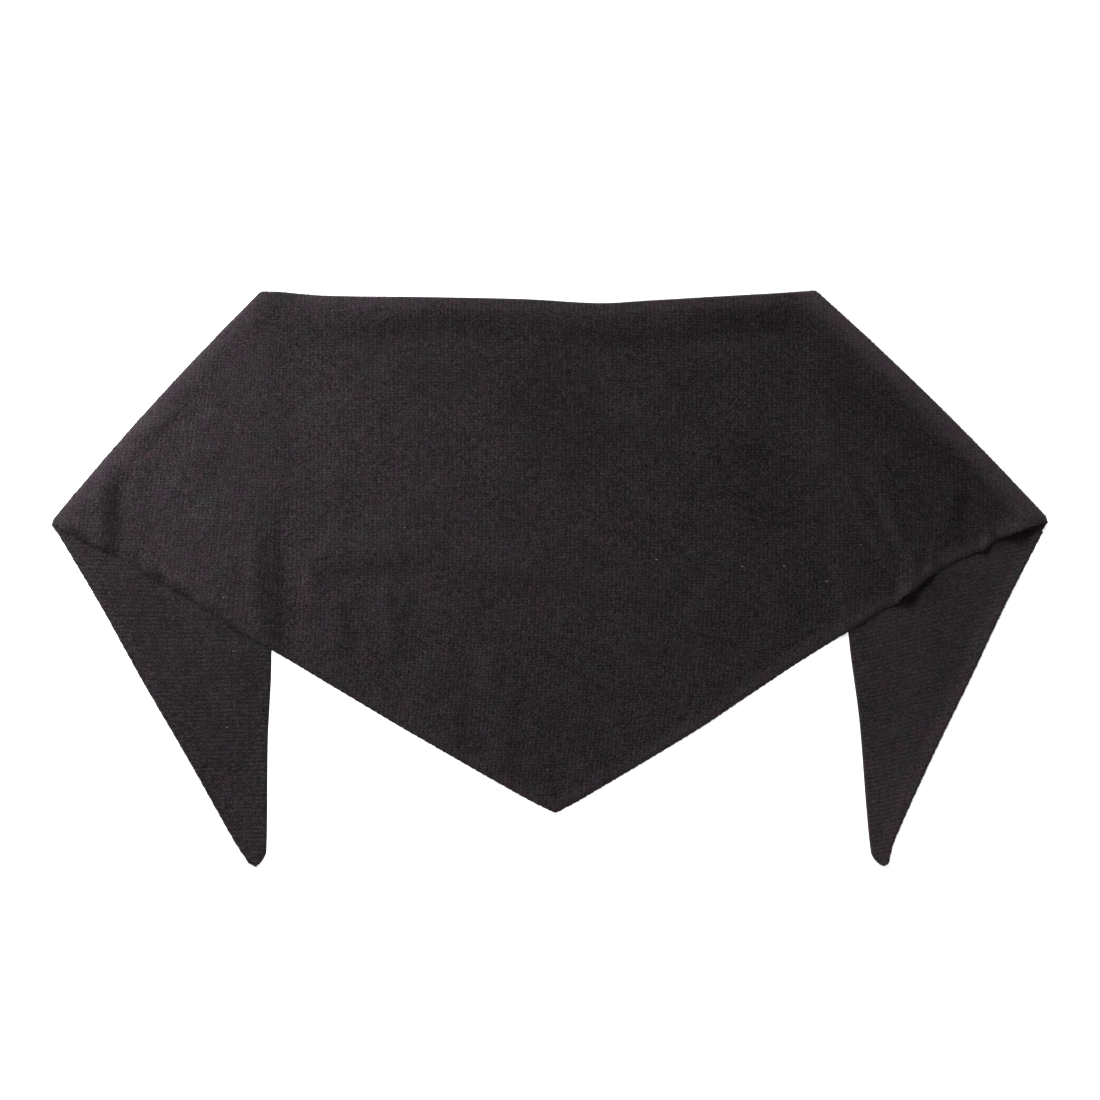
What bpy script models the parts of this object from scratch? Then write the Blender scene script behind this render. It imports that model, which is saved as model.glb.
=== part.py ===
"""Knitted triangle scarf, laid flat with both of its long ends folded under along slanting folds.

Metres, +Z up. +X runs to the right along the long edge and +Y points up to that edge. The origin is the middle
of the footprint, on the surface that the scarf lies on.

The front lies on that surface in the middle, steps up over each end and turns round each fold as a soft roll.
Each end lies flat under the front, reverse side up, and shows below the front's lower edges.
"""

import math

import bmesh
import bpy
from mathutils import Vector

# Driving dimensions of the cloth. Round a fold the seam runs on a slant, so its gap is wider along the fold.
KNIT_WALL = 0.0022
BORDER_WALL = 0.0026
BORDER_WIDTH = 0.010
SEAM_GAP = 0.0003
ROLL_GAP = 0.0009

# Driving dimensions of the folds: each is a soft roll with a short flat return on the surface below.
ROLL_RADIUS = 0.0042
ROLL_RETURN = 0.006
ROLL_RUN_OUT = 0.020
FOLD_BOW = 0.0033
LEFT_CORNER = (-0.3989, 0.0440)
LEFT_SHOULDER = (-0.2335, 0.2262)
RIGHT_CORNER = (0.3999, 0.0458)
RIGHT_SHOULDER = (0.2145, 0.2284)
CORNER_HEIGHT = 0.004

# How far a roll's lower side lags behind its upper side towards the corner, in roll radii, at each of its ends.
LAG_AT_CORNER = 0.5
LAG_AT_SHOULDER = 2.0
SLANT_AT_CORNER = 0.3
SLANT_AT_SHOULDER = 1.0

# The front's underside over the folded ends, and the length over which it comes down to the surface beside them.
LAYER = BORDER_WALL + SEAM_GAP
STEP_RUN = 0.014
STEP_CLEARANCE = 0.004

# Length over which the border's columns lose the slant that they have at a fold.
SLANT_RUN = 0.035

# Long edge of the front, from left to right.      x, y
LONG_EDGE = (
    (-0.2400, 0.2262),
    (-0.2220, 0.2290),
    (-0.1796, 0.2262),
    (-0.0996, 0.2250),
    (-0.0196, 0.2234),
    (0.0404, 0.2202),
    (0.0804, 0.2224),
    (0.1604, 0.2269),
    (0.2068, 0.2294),
    (0.2200, 0.2294),
)

# Lower edge of the front, from the left corner over the left end to the point, and up over the right end.   x, y
LOWER_EDGE = (
    (-0.3989, 0.0440),
    (-0.3716, 0.0298),
    (-0.3452, 0.0172),
    (-0.3092, -0.0038),
    (-0.2820, -0.0206),
    (-0.2476, -0.0430),
    (-0.2212, -0.0582),
    (-0.1196, -0.1189),
    (-0.0236, -0.1738),
    (0.0052, -0.1877),
    (0.0244, -0.1778),
    (0.1204, -0.1202),
    (0.1524, -0.0988),
    (0.2004, -0.0670),
    (0.2364, -0.0438),
    (0.2644, -0.0254),
    (0.2788, -0.0190),
    (0.2980, -0.0040),
    (0.3100, 0.0058),
    (0.3364, 0.0206),
    (0.3588, 0.0318),
    (0.3999, 0.0458),
)
POINT_X = 0.0052

# Edges of the folded ends, from the fold down to the tip.   y, x
LEFT_OUTER = (
    (0.0440, -0.3989),
    (-0.0174, -0.3618),
    (-0.0814, -0.3262),
    (-0.1454, -0.2889),
    (-0.2094, -0.2529),
    (-0.2302, -0.2390),
)
LEFT_INNER = (
    (0.2290, -0.2345),
    (0.0600, -0.2245),
    (-0.0662, -0.2224),
    (-0.1294, -0.2252),
    (-0.2302, -0.2264),
)
RIGHT_OUTER = (
    (0.0458, 0.3999),
    (-0.0174, 0.3668),
    (-0.0814, 0.3365),
    (-0.1454, 0.3053),
    (-0.2094, 0.2764),
    (-0.2302, 0.2705),
)
RIGHT_INNER = (
    (0.2290, 0.2155),
    (-0.0478, 0.2393),
    (-0.1134, 0.2477),
    (-0.1854, 0.2535),
    (-0.2302, 0.2576),
)
LEFT_NOTCH_Y = -0.0580
RIGHT_NOTCH_Y = -0.0440
TIP_Y = -0.2302
TIP_ROUNDING = 0.008
PANEL_TIP_Y = -0.2240

# Soft ridges of the front.        start x, start y, end x, end y, half width, height
RIDGES = (
    (0.232, 0.066, 0.282, -0.006, 0.016, 0.0030),
    (-0.190, 0.022, -0.188, -0.020, 0.016, 0.0026),
    (-0.176, 0.024, -0.086, 0.022, 0.014, 0.0018),
    (-0.070, 0.014, 0.074, -0.006, 0.015, 0.0018),
    (-0.132, -0.006, -0.098, -0.056, 0.014, 0.0022),
    (-0.048, -0.086, -0.046, -0.152, 0.014, 0.0020),
    (-0.008, -0.088, -0.014, -0.156, 0.012, 0.0016),
    (-0.150, 0.192, 0.030, 0.186, 0.014, 0.0014),
    (0.090, 0.188, 0.205, 0.196, 0.014, 0.0020),
    (0.272, 0.116, 0.330, 0.062, 0.013, 0.0022),
    (-0.262, 0.120, -0.300, 0.060, 0.016, 0.0018),
    (-0.270, 0.052, -0.252, 0.000, 0.014, 0.0018),
)

# Waves where the front's lower edge lifts off the folded ends.      centre x, half length, reach inward, height
LIFTS = (
    (-0.3190, 0.014, 0.020, 0.0020),
    (-0.2990, 0.013, 0.018, 0.0016),
    (0.2540, 0.016, 0.026, 0.0026),
    (0.2860, 0.022, 0.036, 0.0064),
    (0.3220, 0.018, 0.030, 0.0030),
    (0.3570, 0.024, 0.030, 0.0046),
)

# Curl of the ends' free outer edges: its height, its width, and the share of the edge over which it starts.
CURL_HEIGHT = 0.0012
CURL_RUN = 0.012
CURL_START = 0.2

# Numbers of quads.
FOLD_COLUMNS = 20
MIDDLE_COLUMNS = (2, 4, 12, 12, 4, 2)
PANEL_ROWS = 17
ROLL_STEPS = 7
BORDER_ROWS = 2
TAIL_ROWS = 22
TAIL_COLUMNS = 8
TAIL_BORDER_ROWS = 30

# Closer rows towards the folds and the tips, and how soon an end's rows lose the bow of the fold.
ROW_EASE = 1.35
TIP_EASE = 1.5
BOW_EASE = 3

# Finishes.         colour, roughness
KNIT_FINISH = ((0.024, 0.020, 0.022), 0.95)
REVERSE_FINISH = ((0.026, 0.022, 0.024), 0.97)
BORDER_FINISH = ((0.030, 0.026, 0.028), 0.93)

MERGE_DISTANCE = 0.00001

# Fractions up a fold between which its lines are searched for where they cross an edge.
BELOW_CORNER = -0.2
MID_FOLD = 0.5
ABOVE_SHOULDER = 1.2
SEARCH_STEPS = 40


def smooth(rows, at):
    """Value at a position on a smooth curve through rows of (position, value), straight beyond both ends."""
    table = sorted(rows)
    last = len(table) - 1

    def slope(k):
        low, high = max(k - 1, 0), min(k + 1, last)
        return (table[high][1] - table[low][1]) / (table[high][0] - table[low][0])

    for end in (0, last):
        if (at - table[end][0]) * (table[end][0] - table[last - end][0]) > 0:
            return table[end][1] + slope(end) * (at - table[end][0])
    index = 0
    while index < last - 1 and at > table[index + 1][0]:
        index += 1
    (start, value), (end, next_value) = table[index], table[index + 1]
    run = end - start
    t = (at - start) / run
    return (
        (2 * t**3 - 3 * t**2 + 1) * value
        + (t**3 - 2 * t**2 + t) * run * slope(index)
        + (3 * t**2 - 2 * t**3) * next_value
        + (t**3 - t**2) * run * slope(index + 1)
    )


def fade(distance, run):
    """1 at no distance, falling smoothly to 0 at the end of the run."""
    t = min(max(distance / run, 0.0), 1.0)
    return 1 - t * t * (3 - 2 * t)


def meeting(place, gap, low, high):
    """Fraction along a line of points at which gap(point) changes sign."""
    starts_above = gap(place(low)) > 0
    for _ in range(SEARCH_STEPS):
        middle = (low + high) / 2
        if (gap(place(middle)) > 0) == starts_above:
            low = middle
        else:
            high = middle
    return (low + high) / 2


class Fold:
    """One slanting fold: a gently bowed outline from the side corner up to the shoulder."""

    def __init__(self, corner, shoulder, inner_edge, outer_edge, notch_y):
        self.corner = Vector(corner)
        self.run = Vector(shoulder) - self.corner
        self.side = 1 if self.corner.x > 0 else -1
        self.along = self.run.normalized()
        self.outward = Vector((self.along.y, -self.along.x)) * self.side
        self.inner_edge = inner_edge
        self.outer_edge = outer_edge
        self.notch_x = smooth(inner_edge, notch_y)
        self.crest_start = meeting(self.crest, above_corner, BELOW_CORNER, MID_FOLD)
        self.crest_seam = meeting(self.crest, above_seam, MID_FOLD, ABOVE_SHOULDER)
        self.crest_border = self.crest_seam + ROLL_GAP / self.run.length
        self.crest_end = meeting(self.crest, above_long_edge, MID_FOLD, ABOVE_SHOULDER)

    def inset(self, q, distance):
        """Point inside the outline by a distance, at fraction q of the way up the fold."""
        bow = FOLD_BOW * 4 * q * (1 - q)
        tilt = FOLD_BOW * 4 * (1 - 2 * q) / self.run.length
        normal = (self.outward - self.along * tilt).normalized()
        return self.corner + self.run * q + self.outward * bow - normal * distance

    def crest(self, q):
        """Highest line of the roll."""
        return self.inset(q, ROLL_RADIUS)

    def cut(self, q):
        """Line where the folded end begins, just past the roll's return."""
        return self.inset(q, ROLL_RADIUS + ROLL_RETURN + SEAM_GAP)

    def cut_meets(self, edge, search_end):
        """Fraction at which the cut line crosses an edge, given as x at a height y."""
        return meeting(self.cut, lambda p: (p.x - edge(p.y)) * self.side, MID_FOLD, search_end)

    def depth(self, x, y):
        """Distance of a point inside the outline."""
        offset = Vector((x, y)) - self.corner
        q = offset.dot(self.along) / self.run.length
        return FOLD_BOW * 4 * q * (1 - q) - offset.dot(self.outward)

    def step_stations(self):
        """Columns from the roll's end to the foot of the front's step, as (x at the seam, x at the lower edge)."""
        seam_x = self.crest(self.crest_seam).x
        near_top = smooth(self.inner_edge, seam_line(seam_x))
        steps = [STEP_CLEARANCE / 2, STEP_CLEARANCE + STEP_RUN]
        return [(seam_x, self.notch_x)] + [
            (near_top - self.side * past, self.notch_x - self.side * past) for past in steps
        ]

    def roll(self, q, step, wall):
        """Point of the roll's inner surface, from the crest round to the end of the return."""
        lag = ROLL_RADIUS * (LAG_AT_CORNER + (LAG_AT_SHOULDER - LAG_AT_CORNER) * q)
        slant = SLANT_AT_CORNER + (SLANT_AT_SHOULDER - SLANT_AT_CORNER) * q
        inner = ROLL_RADIUS - wall
        turn = math.pi * min(step / (ROLL_STEPS - 1), 1.0)
        back = ROLL_RETURN if step == ROLL_STEPS else 0.0
        behind = (lag * (1 - math.cos(turn)) / 2 + slant * back) / self.run.length
        flat = self.inset(q - behind, ROLL_RADIUS + back - inner * math.sin(turn))
        return Vector((flat.x, flat.y, ROLL_RADIUS + inner * math.cos(turn)))


def long_edge(x):
    return smooth(LONG_EDGE, x)


def lower_edge(x):
    return smooth(LOWER_EDGE, x)


def seam_line(x):
    """Upper edge of the front panel's flat part, just below the border."""
    return long_edge(x) - BORDER_WIDTH - SEAM_GAP


def above_corner(point):
    return point.y - lower_edge(point.x) - CORNER_HEIGHT


def above_seam(point):
    return point.y - seam_line(point.x)


def above_long_edge(point):
    return point.y - long_edge(point.x)


def ridge_height(x, y):
    """Height that the soft ridges add at a point."""
    total = 0.0
    for start_x, start_y, end_x, end_y, half_width, height in RIDGES:
        start = Vector((start_x, start_y))
        run = Vector((end_x, end_y)) - start
        offset = Vector((x, y)) - start
        t = min(max(offset.dot(run) / run.length_squared, 0.0), 1.0)
        distance = (offset - run * t).length
        total += height * fade(distance, half_width) ** 2
    return total


def lift_height(x, y):
    """Height that the waves of the lower edge add at a point."""
    rise = y - lower_edge(x)
    total = 0.0
    for centre, half_length, reach, height in LIFTS:
        total += height * fade(abs(x - centre), half_length) * fade(rise, reach)
    return total


def underside(x, y, folds, wall):
    """Height of the front's underside: flat on the surface, or over an end, and rising to the rolls."""
    layers = 0.0
    roll_share = 0.0
    for fold in folds:
        past_inner_edge = (smooth(fold.inner_edge, y) - x) * fold.side
        roll_share = max(roll_share, fade(fold.depth(x, y) - ROLL_RADIUS, ROLL_RUN_OUT))
        layers = max(layers, LAYER * fade(past_inner_edge - STEP_CLEARANCE, STEP_RUN), LAYER * roll_share)
    hump = (2 * ROLL_RADIUS - wall - LAYER) * roll_share
    return layers + hump + (1 - roll_share) * (ridge_height(x, y) + lift_height(x, y))


def spread(low, high, count):
    """Evenly spaced values from low to high, both included."""
    return [low + (high - low) * k / count for k in range(count + 1)]


def add_patch(bm, columns, rows, place):
    """Adds a grid of quads whose corners stand at place(column, row)."""
    made = bmesh.ops.create_grid(bm, x_segments=columns, y_segments=rows, size=0.5)
    for vert in made["verts"]:
        column = round((vert.co.x + 0.5) * columns)
        row = round((vert.co.y + 0.5) * rows)
        vert.co = place(column, row)


def add_roll(bm, fold, fractions, wall):
    """Adds the roll of a fold between the given fractions, with its columns from left to right."""
    ordered = fractions if fold.side < 0 else list(reversed(fractions))
    add_patch(bm, len(ordered) - 1, ROLL_STEPS, lambda column, row: fold.roll(ordered[column], row, wall))


def make_material(name, finish):
    colour, roughness = finish
    material = bpy.data.materials.new(name)
    material.use_nodes = True
    shader = material.node_tree.nodes["Principled BSDF"]
    shader.inputs["Base Color"].default_value = (*colour, 1.0)
    shader.inputs["Roughness"].default_value = roughness
    shader.inputs["Metallic"].default_value = 0.0
    material.diffuse_color = (*colour, 1.0)
    return material


def make_cloth(name, bm, wall, finish):
    """Makes the patches one sheet, gives it its wall upwards from the underside, and names it."""
    bmesh.ops.remove_doubles(bm, verts=bm.verts, dist=MERGE_DISTANCE)
    mesh = bpy.data.meshes.new(name)
    bm.to_mesh(mesh)
    bm.free()
    cloth = bpy.data.objects.new(name, mesh)
    bpy.context.collection.objects.link(cloth)
    mesh.materials.append(make_material(name + "_knit", finish))
    thickness = cloth.modifiers.new("wall", "SOLIDIFY")
    thickness.thickness = wall
    thickness.offset = 1.0
    thickness.use_even_offset = True
    thickness.use_quality_normals = True
    mesh.shade_smooth()
    return cloth


def seam_stations(left, right):
    """Columns between the two rolls, as pairs of x at the border's seam and at the lower edge."""
    keys = left.step_stations() + [(POINT_X, POINT_X)] + list(reversed(right.step_stations()))
    pairs = [keys[0]]
    for start, end, count in zip(keys, keys[1:], MIDDLE_COLUMNS):
        pairs += list(zip(spread(start[0], end[0], count), spread(start[1], end[1], count)))[1:]
    return pairs


def make_front_panel(left, right):
    """Body of the scarf: columns from the lower edge up to a fold's crest or to the border's seam."""
    left_rolls = spread(left.crest_start, left.crest_seam, FOLD_COLUMNS)
    right_rolls = spread(right.crest_start, right.crest_seam, FOLD_COLUMNS)
    left_tops = [left.crest(q) for q in left_rolls]
    right_tops = [right.crest(q) for q in reversed(right_rolls)]
    middle = seam_stations(left, right)[1:-1]
    tops = left_tops + [Vector((seam_x, seam_line(seam_x))) for seam_x, _ in middle] + right_tops
    low_x = spread(left_tops[0].x, left.notch_x, FOLD_COLUMNS)
    low_x += [lower_x for _, lower_x in middle]
    low_x += spread(right.notch_x, right_tops[-1].x, FOLD_COLUMNS)

    def place(column, row):
        share = 1 - (1 - row / PANEL_ROWS) ** ROW_EASE
        low = Vector((low_x[column], lower_edge(low_x[column])))
        flat = low.lerp(tops[column], share)
        return Vector((flat.x, flat.y, underside(flat.x, flat.y, (left, right), KNIT_WALL)))

    bm = bmesh.new()
    add_patch(bm, len(tops) - 1, PANEL_ROWS, place)
    add_roll(bm, left, left_rolls, KNIT_WALL)
    add_roll(bm, right, right_rolls, KNIT_WALL)
    return make_cloth("front_panel", bm, KNIT_WALL, KNIT_FINISH)


def make_top_border(left, right):
    """Ribbed strip along the front's long edge, with its slanting turns round both folds."""
    rolls = {fold: spread(fold.crest_border, fold.crest_end, BORDER_ROWS) for fold in (left, right)}
    seam_x = [pair[0] for pair in seam_stations(left, right)]

    def upper_x(x):
        """Where a column that starts on the seam at x meets the long edge: slanted beside the folds."""
        slants = [
            (fold.crest(fold.crest_end).x - fold.crest(fold.crest_border).x)
            * fade(abs(x - fold.crest(fold.crest_border).x), SLANT_RUN)
            for fold in (left, right)
        ]
        return x + sum(slants)

    def place(column, row):
        if column == 0:
            flat = left.crest(rolls[left][row])
        elif column == len(seam_x) - 1:
            flat = right.crest(rolls[right][row])
        else:
            low_x, high_x = seam_x[column], upper_x(seam_x[column])
            low = Vector((low_x, seam_line(low_x) + SEAM_GAP))
            flat = low.lerp(Vector((high_x, long_edge(high_x))), row / BORDER_ROWS)
        return Vector((flat.x, flat.y, underside(flat.x, flat.y, (left, right), BORDER_WALL)))

    bm = bmesh.new()
    add_patch(bm, len(seam_x) - 1, BORDER_ROWS, place)
    for fold, fractions in rolls.items():
        add_roll(bm, fold, fractions, BORDER_WALL)
    return make_cloth("top_border", bm, BORDER_WALL, BORDER_FINISH)


def make_tail_strip(name, fold, edges, cut, tip_y, counts, curl_height, wall, finish):
    """Part of a folded end between its outer and inner edges, from the fold's cut line down to the tip."""
    outer, inner = edges
    outer_start, inner_start = (fold.cut(q) for q in cut)
    columns, rows = counts

    def place(column, row):
        across = column / columns if fold.side < 0 else 1 - column / columns
        down = 1 - (row / rows) ** TIP_EASE
        outer_y = outer_start.y + (tip_y - outer_start.y) * down
        inner_y = inner_start.y + (tip_y - inner_start.y) * down
        edge = Vector((outer(outer_y), outer_y))
        flat = edge.lerp(Vector((inner(inner_y), inner_y)), across)
        cut_point = fold.cut(cut[0] + (cut[1] - cut[0]) * across)
        flat += (cut_point - outer_start.lerp(inner_start, across)) * (1 - down) ** BOW_EASE
        curl = curl_height * fade((flat - edge).length, CURL_RUN) * (1 - fade(down, CURL_START))
        return Vector((flat.x, flat.y, curl))

    bm = bmesh.new()
    add_patch(bm, columns, rows, place)
    return make_cloth(name, bm, wall, finish)


def tip_inset(y):
    """How far the rounding of a tip takes its inner edge in."""
    below = min(max(TIP_Y + TIP_ROUNDING - y, 0.0), TIP_ROUNDING)
    return TIP_ROUNDING - math.sqrt(TIP_ROUNDING**2 - below**2)


def make_tail(side, fold):
    """A folded end and its stretch of the border."""

    def outer(y):
        return smooth(fold.outer_edge, y)

    def seam(y):
        return smooth(fold.inner_edge, y) + fold.side * BORDER_WIDTH

    def panel_inner(y):
        return seam(y) + fold.side * SEAM_GAP

    def rounded_inner(y):
        return smooth(fold.inner_edge, y) + fold.side * tip_inset(y)

    panel_cut = (fold.cut_meets(outer, BELOW_CORNER), fold.cut_meets(panel_inner, ABOVE_SHOULDER))
    panel_counts = (TAIL_COLUMNS, TAIL_ROWS)
    make_tail_strip(
        side + "_tail", fold, (outer, panel_inner), panel_cut, PANEL_TIP_Y, panel_counts,
        CURL_HEIGHT, KNIT_WALL, REVERSE_FINISH,
    )
    border_cut = (fold.cut_meets(seam, ABOVE_SHOULDER), fold.cut_meets(rounded_inner, ABOVE_SHOULDER))
    border_counts = (BORDER_ROWS, TAIL_BORDER_ROWS)
    make_tail_strip(
        side + "_tail_border", fold, (seam, rounded_inner), border_cut, TIP_Y, border_counts,
        0.0, BORDER_WALL, BORDER_FINISH,
    )


def main():
    for old in list(bpy.data.objects):
        bpy.data.objects.remove(old)
    left = Fold(LEFT_CORNER, LEFT_SHOULDER, LEFT_INNER, LEFT_OUTER, LEFT_NOTCH_Y)
    right = Fold(RIGHT_CORNER, RIGHT_SHOULDER, RIGHT_INNER, RIGHT_OUTER, RIGHT_NOTCH_Y)
    make_front_panel(left, right)
    make_top_border(left, right)
    make_tail("left", left)
    make_tail("right", right)


main()
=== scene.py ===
"""The look of a knitted triangle scarf that lies flat with both of its long ends folded under.

Metres, +Z up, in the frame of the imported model: +X runs right along the long edge, +Y points up to that
edge, and the scarf lies on z = 0. Every stitch of the sides that show is modelled. A sheet is laid out in
stitches, cut to its outline, closed underneath and set on the form of its solid.
"""

import logging
import math
from collections.abc import Callable
from dataclasses import dataclass, field
from enum import Enum

import bmesh
import bpy
import numpy as np
from mathutils import Matrix, Vector


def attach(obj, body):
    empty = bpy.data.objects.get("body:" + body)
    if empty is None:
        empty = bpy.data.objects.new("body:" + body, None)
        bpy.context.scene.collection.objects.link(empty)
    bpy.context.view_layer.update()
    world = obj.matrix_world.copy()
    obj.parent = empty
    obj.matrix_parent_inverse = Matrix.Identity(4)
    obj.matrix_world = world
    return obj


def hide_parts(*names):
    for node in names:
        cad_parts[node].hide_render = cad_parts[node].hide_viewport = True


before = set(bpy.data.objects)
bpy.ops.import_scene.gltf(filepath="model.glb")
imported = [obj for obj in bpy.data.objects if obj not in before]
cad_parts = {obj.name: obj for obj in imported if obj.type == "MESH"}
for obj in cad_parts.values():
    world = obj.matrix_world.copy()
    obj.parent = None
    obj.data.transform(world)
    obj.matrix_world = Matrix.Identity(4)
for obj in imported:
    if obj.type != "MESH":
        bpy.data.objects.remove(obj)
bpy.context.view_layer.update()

log = logging.getLogger("scarf")

BODY = "root"
STITCH_MAP = "stitches"
RIM_MARK = "rim"
# The nap weight of each point: it lightens or darkens the knit's colour as painted light and shade, and
# thickens or thins the stray fibres.
NAP_AND_PAINTED_LIGHT = "nap_and_painted_light"
SEED = 20

# The knit: the pitch of its columns of stitches (wales) and of its rows (courses), and its walls.
WALE = 0.00336
COURSE = 0.00244
KNIT_WALL = 0.0022
BORDER_WALL = 0.0024
BORDER_WIDTH = 0.010
SEAM_LAP = 0.0003

# Grid lines for each stitch, across and along, and the share of a course by which the reverse ripples.
ACROSS = 4
ALONG = 2
RIPPLE = 0.2

# The heights of a sheet's two sides in its layout.
UPPER = 0.0
LOWER = -1.0

# The nubs of a free edge: their depth, how their spacing wanders, and the depth of the loops between them.
NUB_DEPTH = 0.0003
NUB_WANDER = ((0.22, 83.0), (0.17, 197.0))
LOOP_DEPTH = 0.00012

# A free edge runs on a slant: distance from it for each metre off it, and its length for each metre along.
SLANT_GAP = 0.87
SLANT_LENGTH = 1.15

# Where stray fibres stick out: clear of the seams, where the cloth is steep, and off the surface.
FRAY_CLEARANCE = 0.003
FRAY_STEEP = 0.55
FRAY_LOWEST = 0.0004

# Where the nap fibres stand: on the crowns of stitches that face up, and more where the nap weight, which
# also paints light and shade on the knit, is higher.
CROWN = 0.95
FACES_UP = 0.5
NAP_EVERYWHERE = 0.3
NAP_LEAST = 0.1

# How far from its spot a speck of lint may lie, and what keeps a direction's length from being nothing.
LINT_REACH = 0.0015
TINY = 1e-6

# The folds: each is a soft roll with a short flat return, which its end continues from.
ROLL_RADIUS = 0.0042
ROLL_RETURN = 0.006
ROLL_RUN_OUT = 0.020
FOLD_BOW = 0.0033
LEFT_SHOULDER = (-0.2335, 0.2262)
RIGHT_SHOULDER = (0.2145, 0.2284)
LAYER = 0.0027
EDGE_HUG = 0.0003
STEP_RUN = 0.010
STEP_SOFT = 0.018
STEP_CLEARANCE = 0.0012

# Shares of the way up a fold between which the edges cross its crest: the lower one, then the others.
CREST_SHARES = (-0.2, 0.5, 1.2)
CREST_STEPS = 400

# The outline as the scarf lies. Columns: x, y.
LONG_EDGE = (
    (-0.2400, 0.2262), (-0.2220, 0.2290), (-0.1796, 0.2262), (-0.0996, 0.2250), (-0.0196, 0.2234),
    (0.0404, 0.2202), (0.0804, 0.2224), (0.1604, 0.2269), (0.2068, 0.2294), (0.2200, 0.2294),
)
LOWER_EDGE = (
    (-0.3989, 0.0440), (-0.3716, 0.0298), (-0.3452, 0.0172), (-0.3092, -0.0038), (-0.2820, -0.0206),
    (-0.2476, -0.0430), (-0.2212, -0.0582), (-0.1196, -0.1189), (-0.0236, -0.1738), (-0.0004, -0.1858),
    (0.0052, -0.1877), (0.0116, -0.1846), (0.0244, -0.1778), (0.1204, -0.1202), (0.1524, -0.0988),
    (0.2004, -0.0670), (0.2364, -0.0446), (0.2484, -0.0374), (0.2628, -0.0276), (0.2764, -0.0214),
    (0.2828, -0.0144), (0.2948, -0.0062), (0.3028, 0.0004), (0.3092, 0.0044), (0.3236, 0.0122),
    (0.3444, 0.0212), (0.3532, 0.0274), (0.3588, 0.0306), (0.3812, 0.0398), (0.3999, 0.0458),
)

# The edges of the folded ends. Columns: y, x.
LEFT_OUTER = (
    (0.0440, -0.3989), (-0.0174, -0.3618), (-0.0814, -0.3262), (-0.1454, -0.2889), (-0.2094, -0.2529),
    (-0.2230, -0.2440), (-0.2286, -0.2396), (-0.2302, -0.2355),
)
LEFT_INNER = (
    (0.2290, -0.2345), (0.0600, -0.2245), (-0.0662, -0.2224), (-0.1294, -0.2252), (-0.2182, -0.2264),
    (-0.2246, -0.2289), (-0.2286, -0.2322), (-0.2302, -0.2350),
)
RIGHT_OUTER = (
    (0.0458, 0.3999), (-0.0174, 0.3668), (-0.0814, 0.3365), (-0.1454, 0.3053), (-0.2094, 0.2764),
    (-0.2214, 0.2730), (-0.2286, 0.2710), (-0.2302, 0.2680),
)
RIGHT_INNER = (
    (0.2290, 0.2155), (-0.0478, 0.2393), (-0.1134, 0.2477), (-0.1854, 0.2535), (-0.2190, 0.2570),
    (-0.2240, 0.2592), (-0.2286, 0.2638), (-0.2302, 0.2670),
)

# The swell of the front. Columns: height, then turn, sway and turn of the sway for x, and the same for y.
SWELLS = (
    (0.0003, 31.0, 2.1, 17.0, 43.0, 1.3, 23.0),
    (0.00012, 97.0, 1.7, 61.0, 113.0, 0.9, 71.0),
)

# Soft ridges of the front. Columns: start x, start y, end x, end y, half width, height.
RIDGES = (
    (0.228, 0.076, 0.284, -0.008, 0.017, 0.0036),
    (-0.190, 0.032, -0.188, -0.030, 0.018, 0.0036),
    (-0.186, 0.021, -0.076, 0.019, 0.021, 0.0028),
    (-0.080, 0.014, 0.084, -0.010, 0.023, 0.0016),
    (-0.131, 0.002, -0.126, -0.068, 0.015, 0.0030),
    (-0.038, -0.080, -0.036, -0.160, 0.018, 0.0022),
    (-0.014, -0.084, -0.016, -0.164, 0.018, 0.0014),
    (-0.160, 0.178, 0.040, 0.174, 0.020, 0.0012),
    (0.080, 0.168, 0.215, 0.178, 0.020, 0.0014),
    (0.268, 0.122, 0.334, 0.058, 0.018, 0.0028),
    (-0.258, 0.128, -0.304, 0.052, 0.022, 0.0022),
    (-0.272, 0.060, -0.250, -0.008, 0.018, 0.0022),
)

# Finer creases of the front, in the same columns.
CREASES = (
    (-0.225, 0.2115, -0.070, 0.2085, 0.022, 0.0024),
    (-0.100, 0.2085, 0.060, 0.2040, 0.017, 0.0018),
    (0.035, 0.2040, 0.205, 0.2110, 0.023, 0.0030),
    (-0.353, 0.0880, -0.352, 0.0080, 0.015, 0.0044),
    (-0.326, 0.1000, -0.330, 0.0140, 0.016, 0.0020),
    (-0.308, 0.1020, -0.256, 0.1360, 0.014, 0.0016),
    (-0.232, 0.0400, -0.231, -0.0520, 0.012, 0.0022),
    (-0.175, -0.0080, -0.167, -0.0600, 0.014, 0.0030),
    (-0.100, -0.0620, -0.086, -0.0980, 0.013, 0.0016),
    (-0.050, -0.0540, -0.054, -0.1040, 0.014, 0.0020),
    (-0.080, -0.0980, -0.078, -0.1400, 0.014, 0.0022),
    (0.258, 0.0960, 0.294, 0.0020, 0.013, 0.0028),
    (0.322, 0.0920, 0.324, 0.0280, 0.015, 0.0026),
    (0.252, 0.1780, 0.341, 0.0920, 0.026, 0.0040),
    (0.098, -0.0520, 0.158, 0.0080, 0.020, 0.0010),
    (0.077, -0.0320, 0.134, 0.0270, 0.020, 0.0008),
    (-0.150, 0.1550, -0.050, 0.1650, 0.022, 0.0016),
    (0.010, 0.1220, 0.120, 0.1400, 0.024, 0.0016),
)
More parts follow.
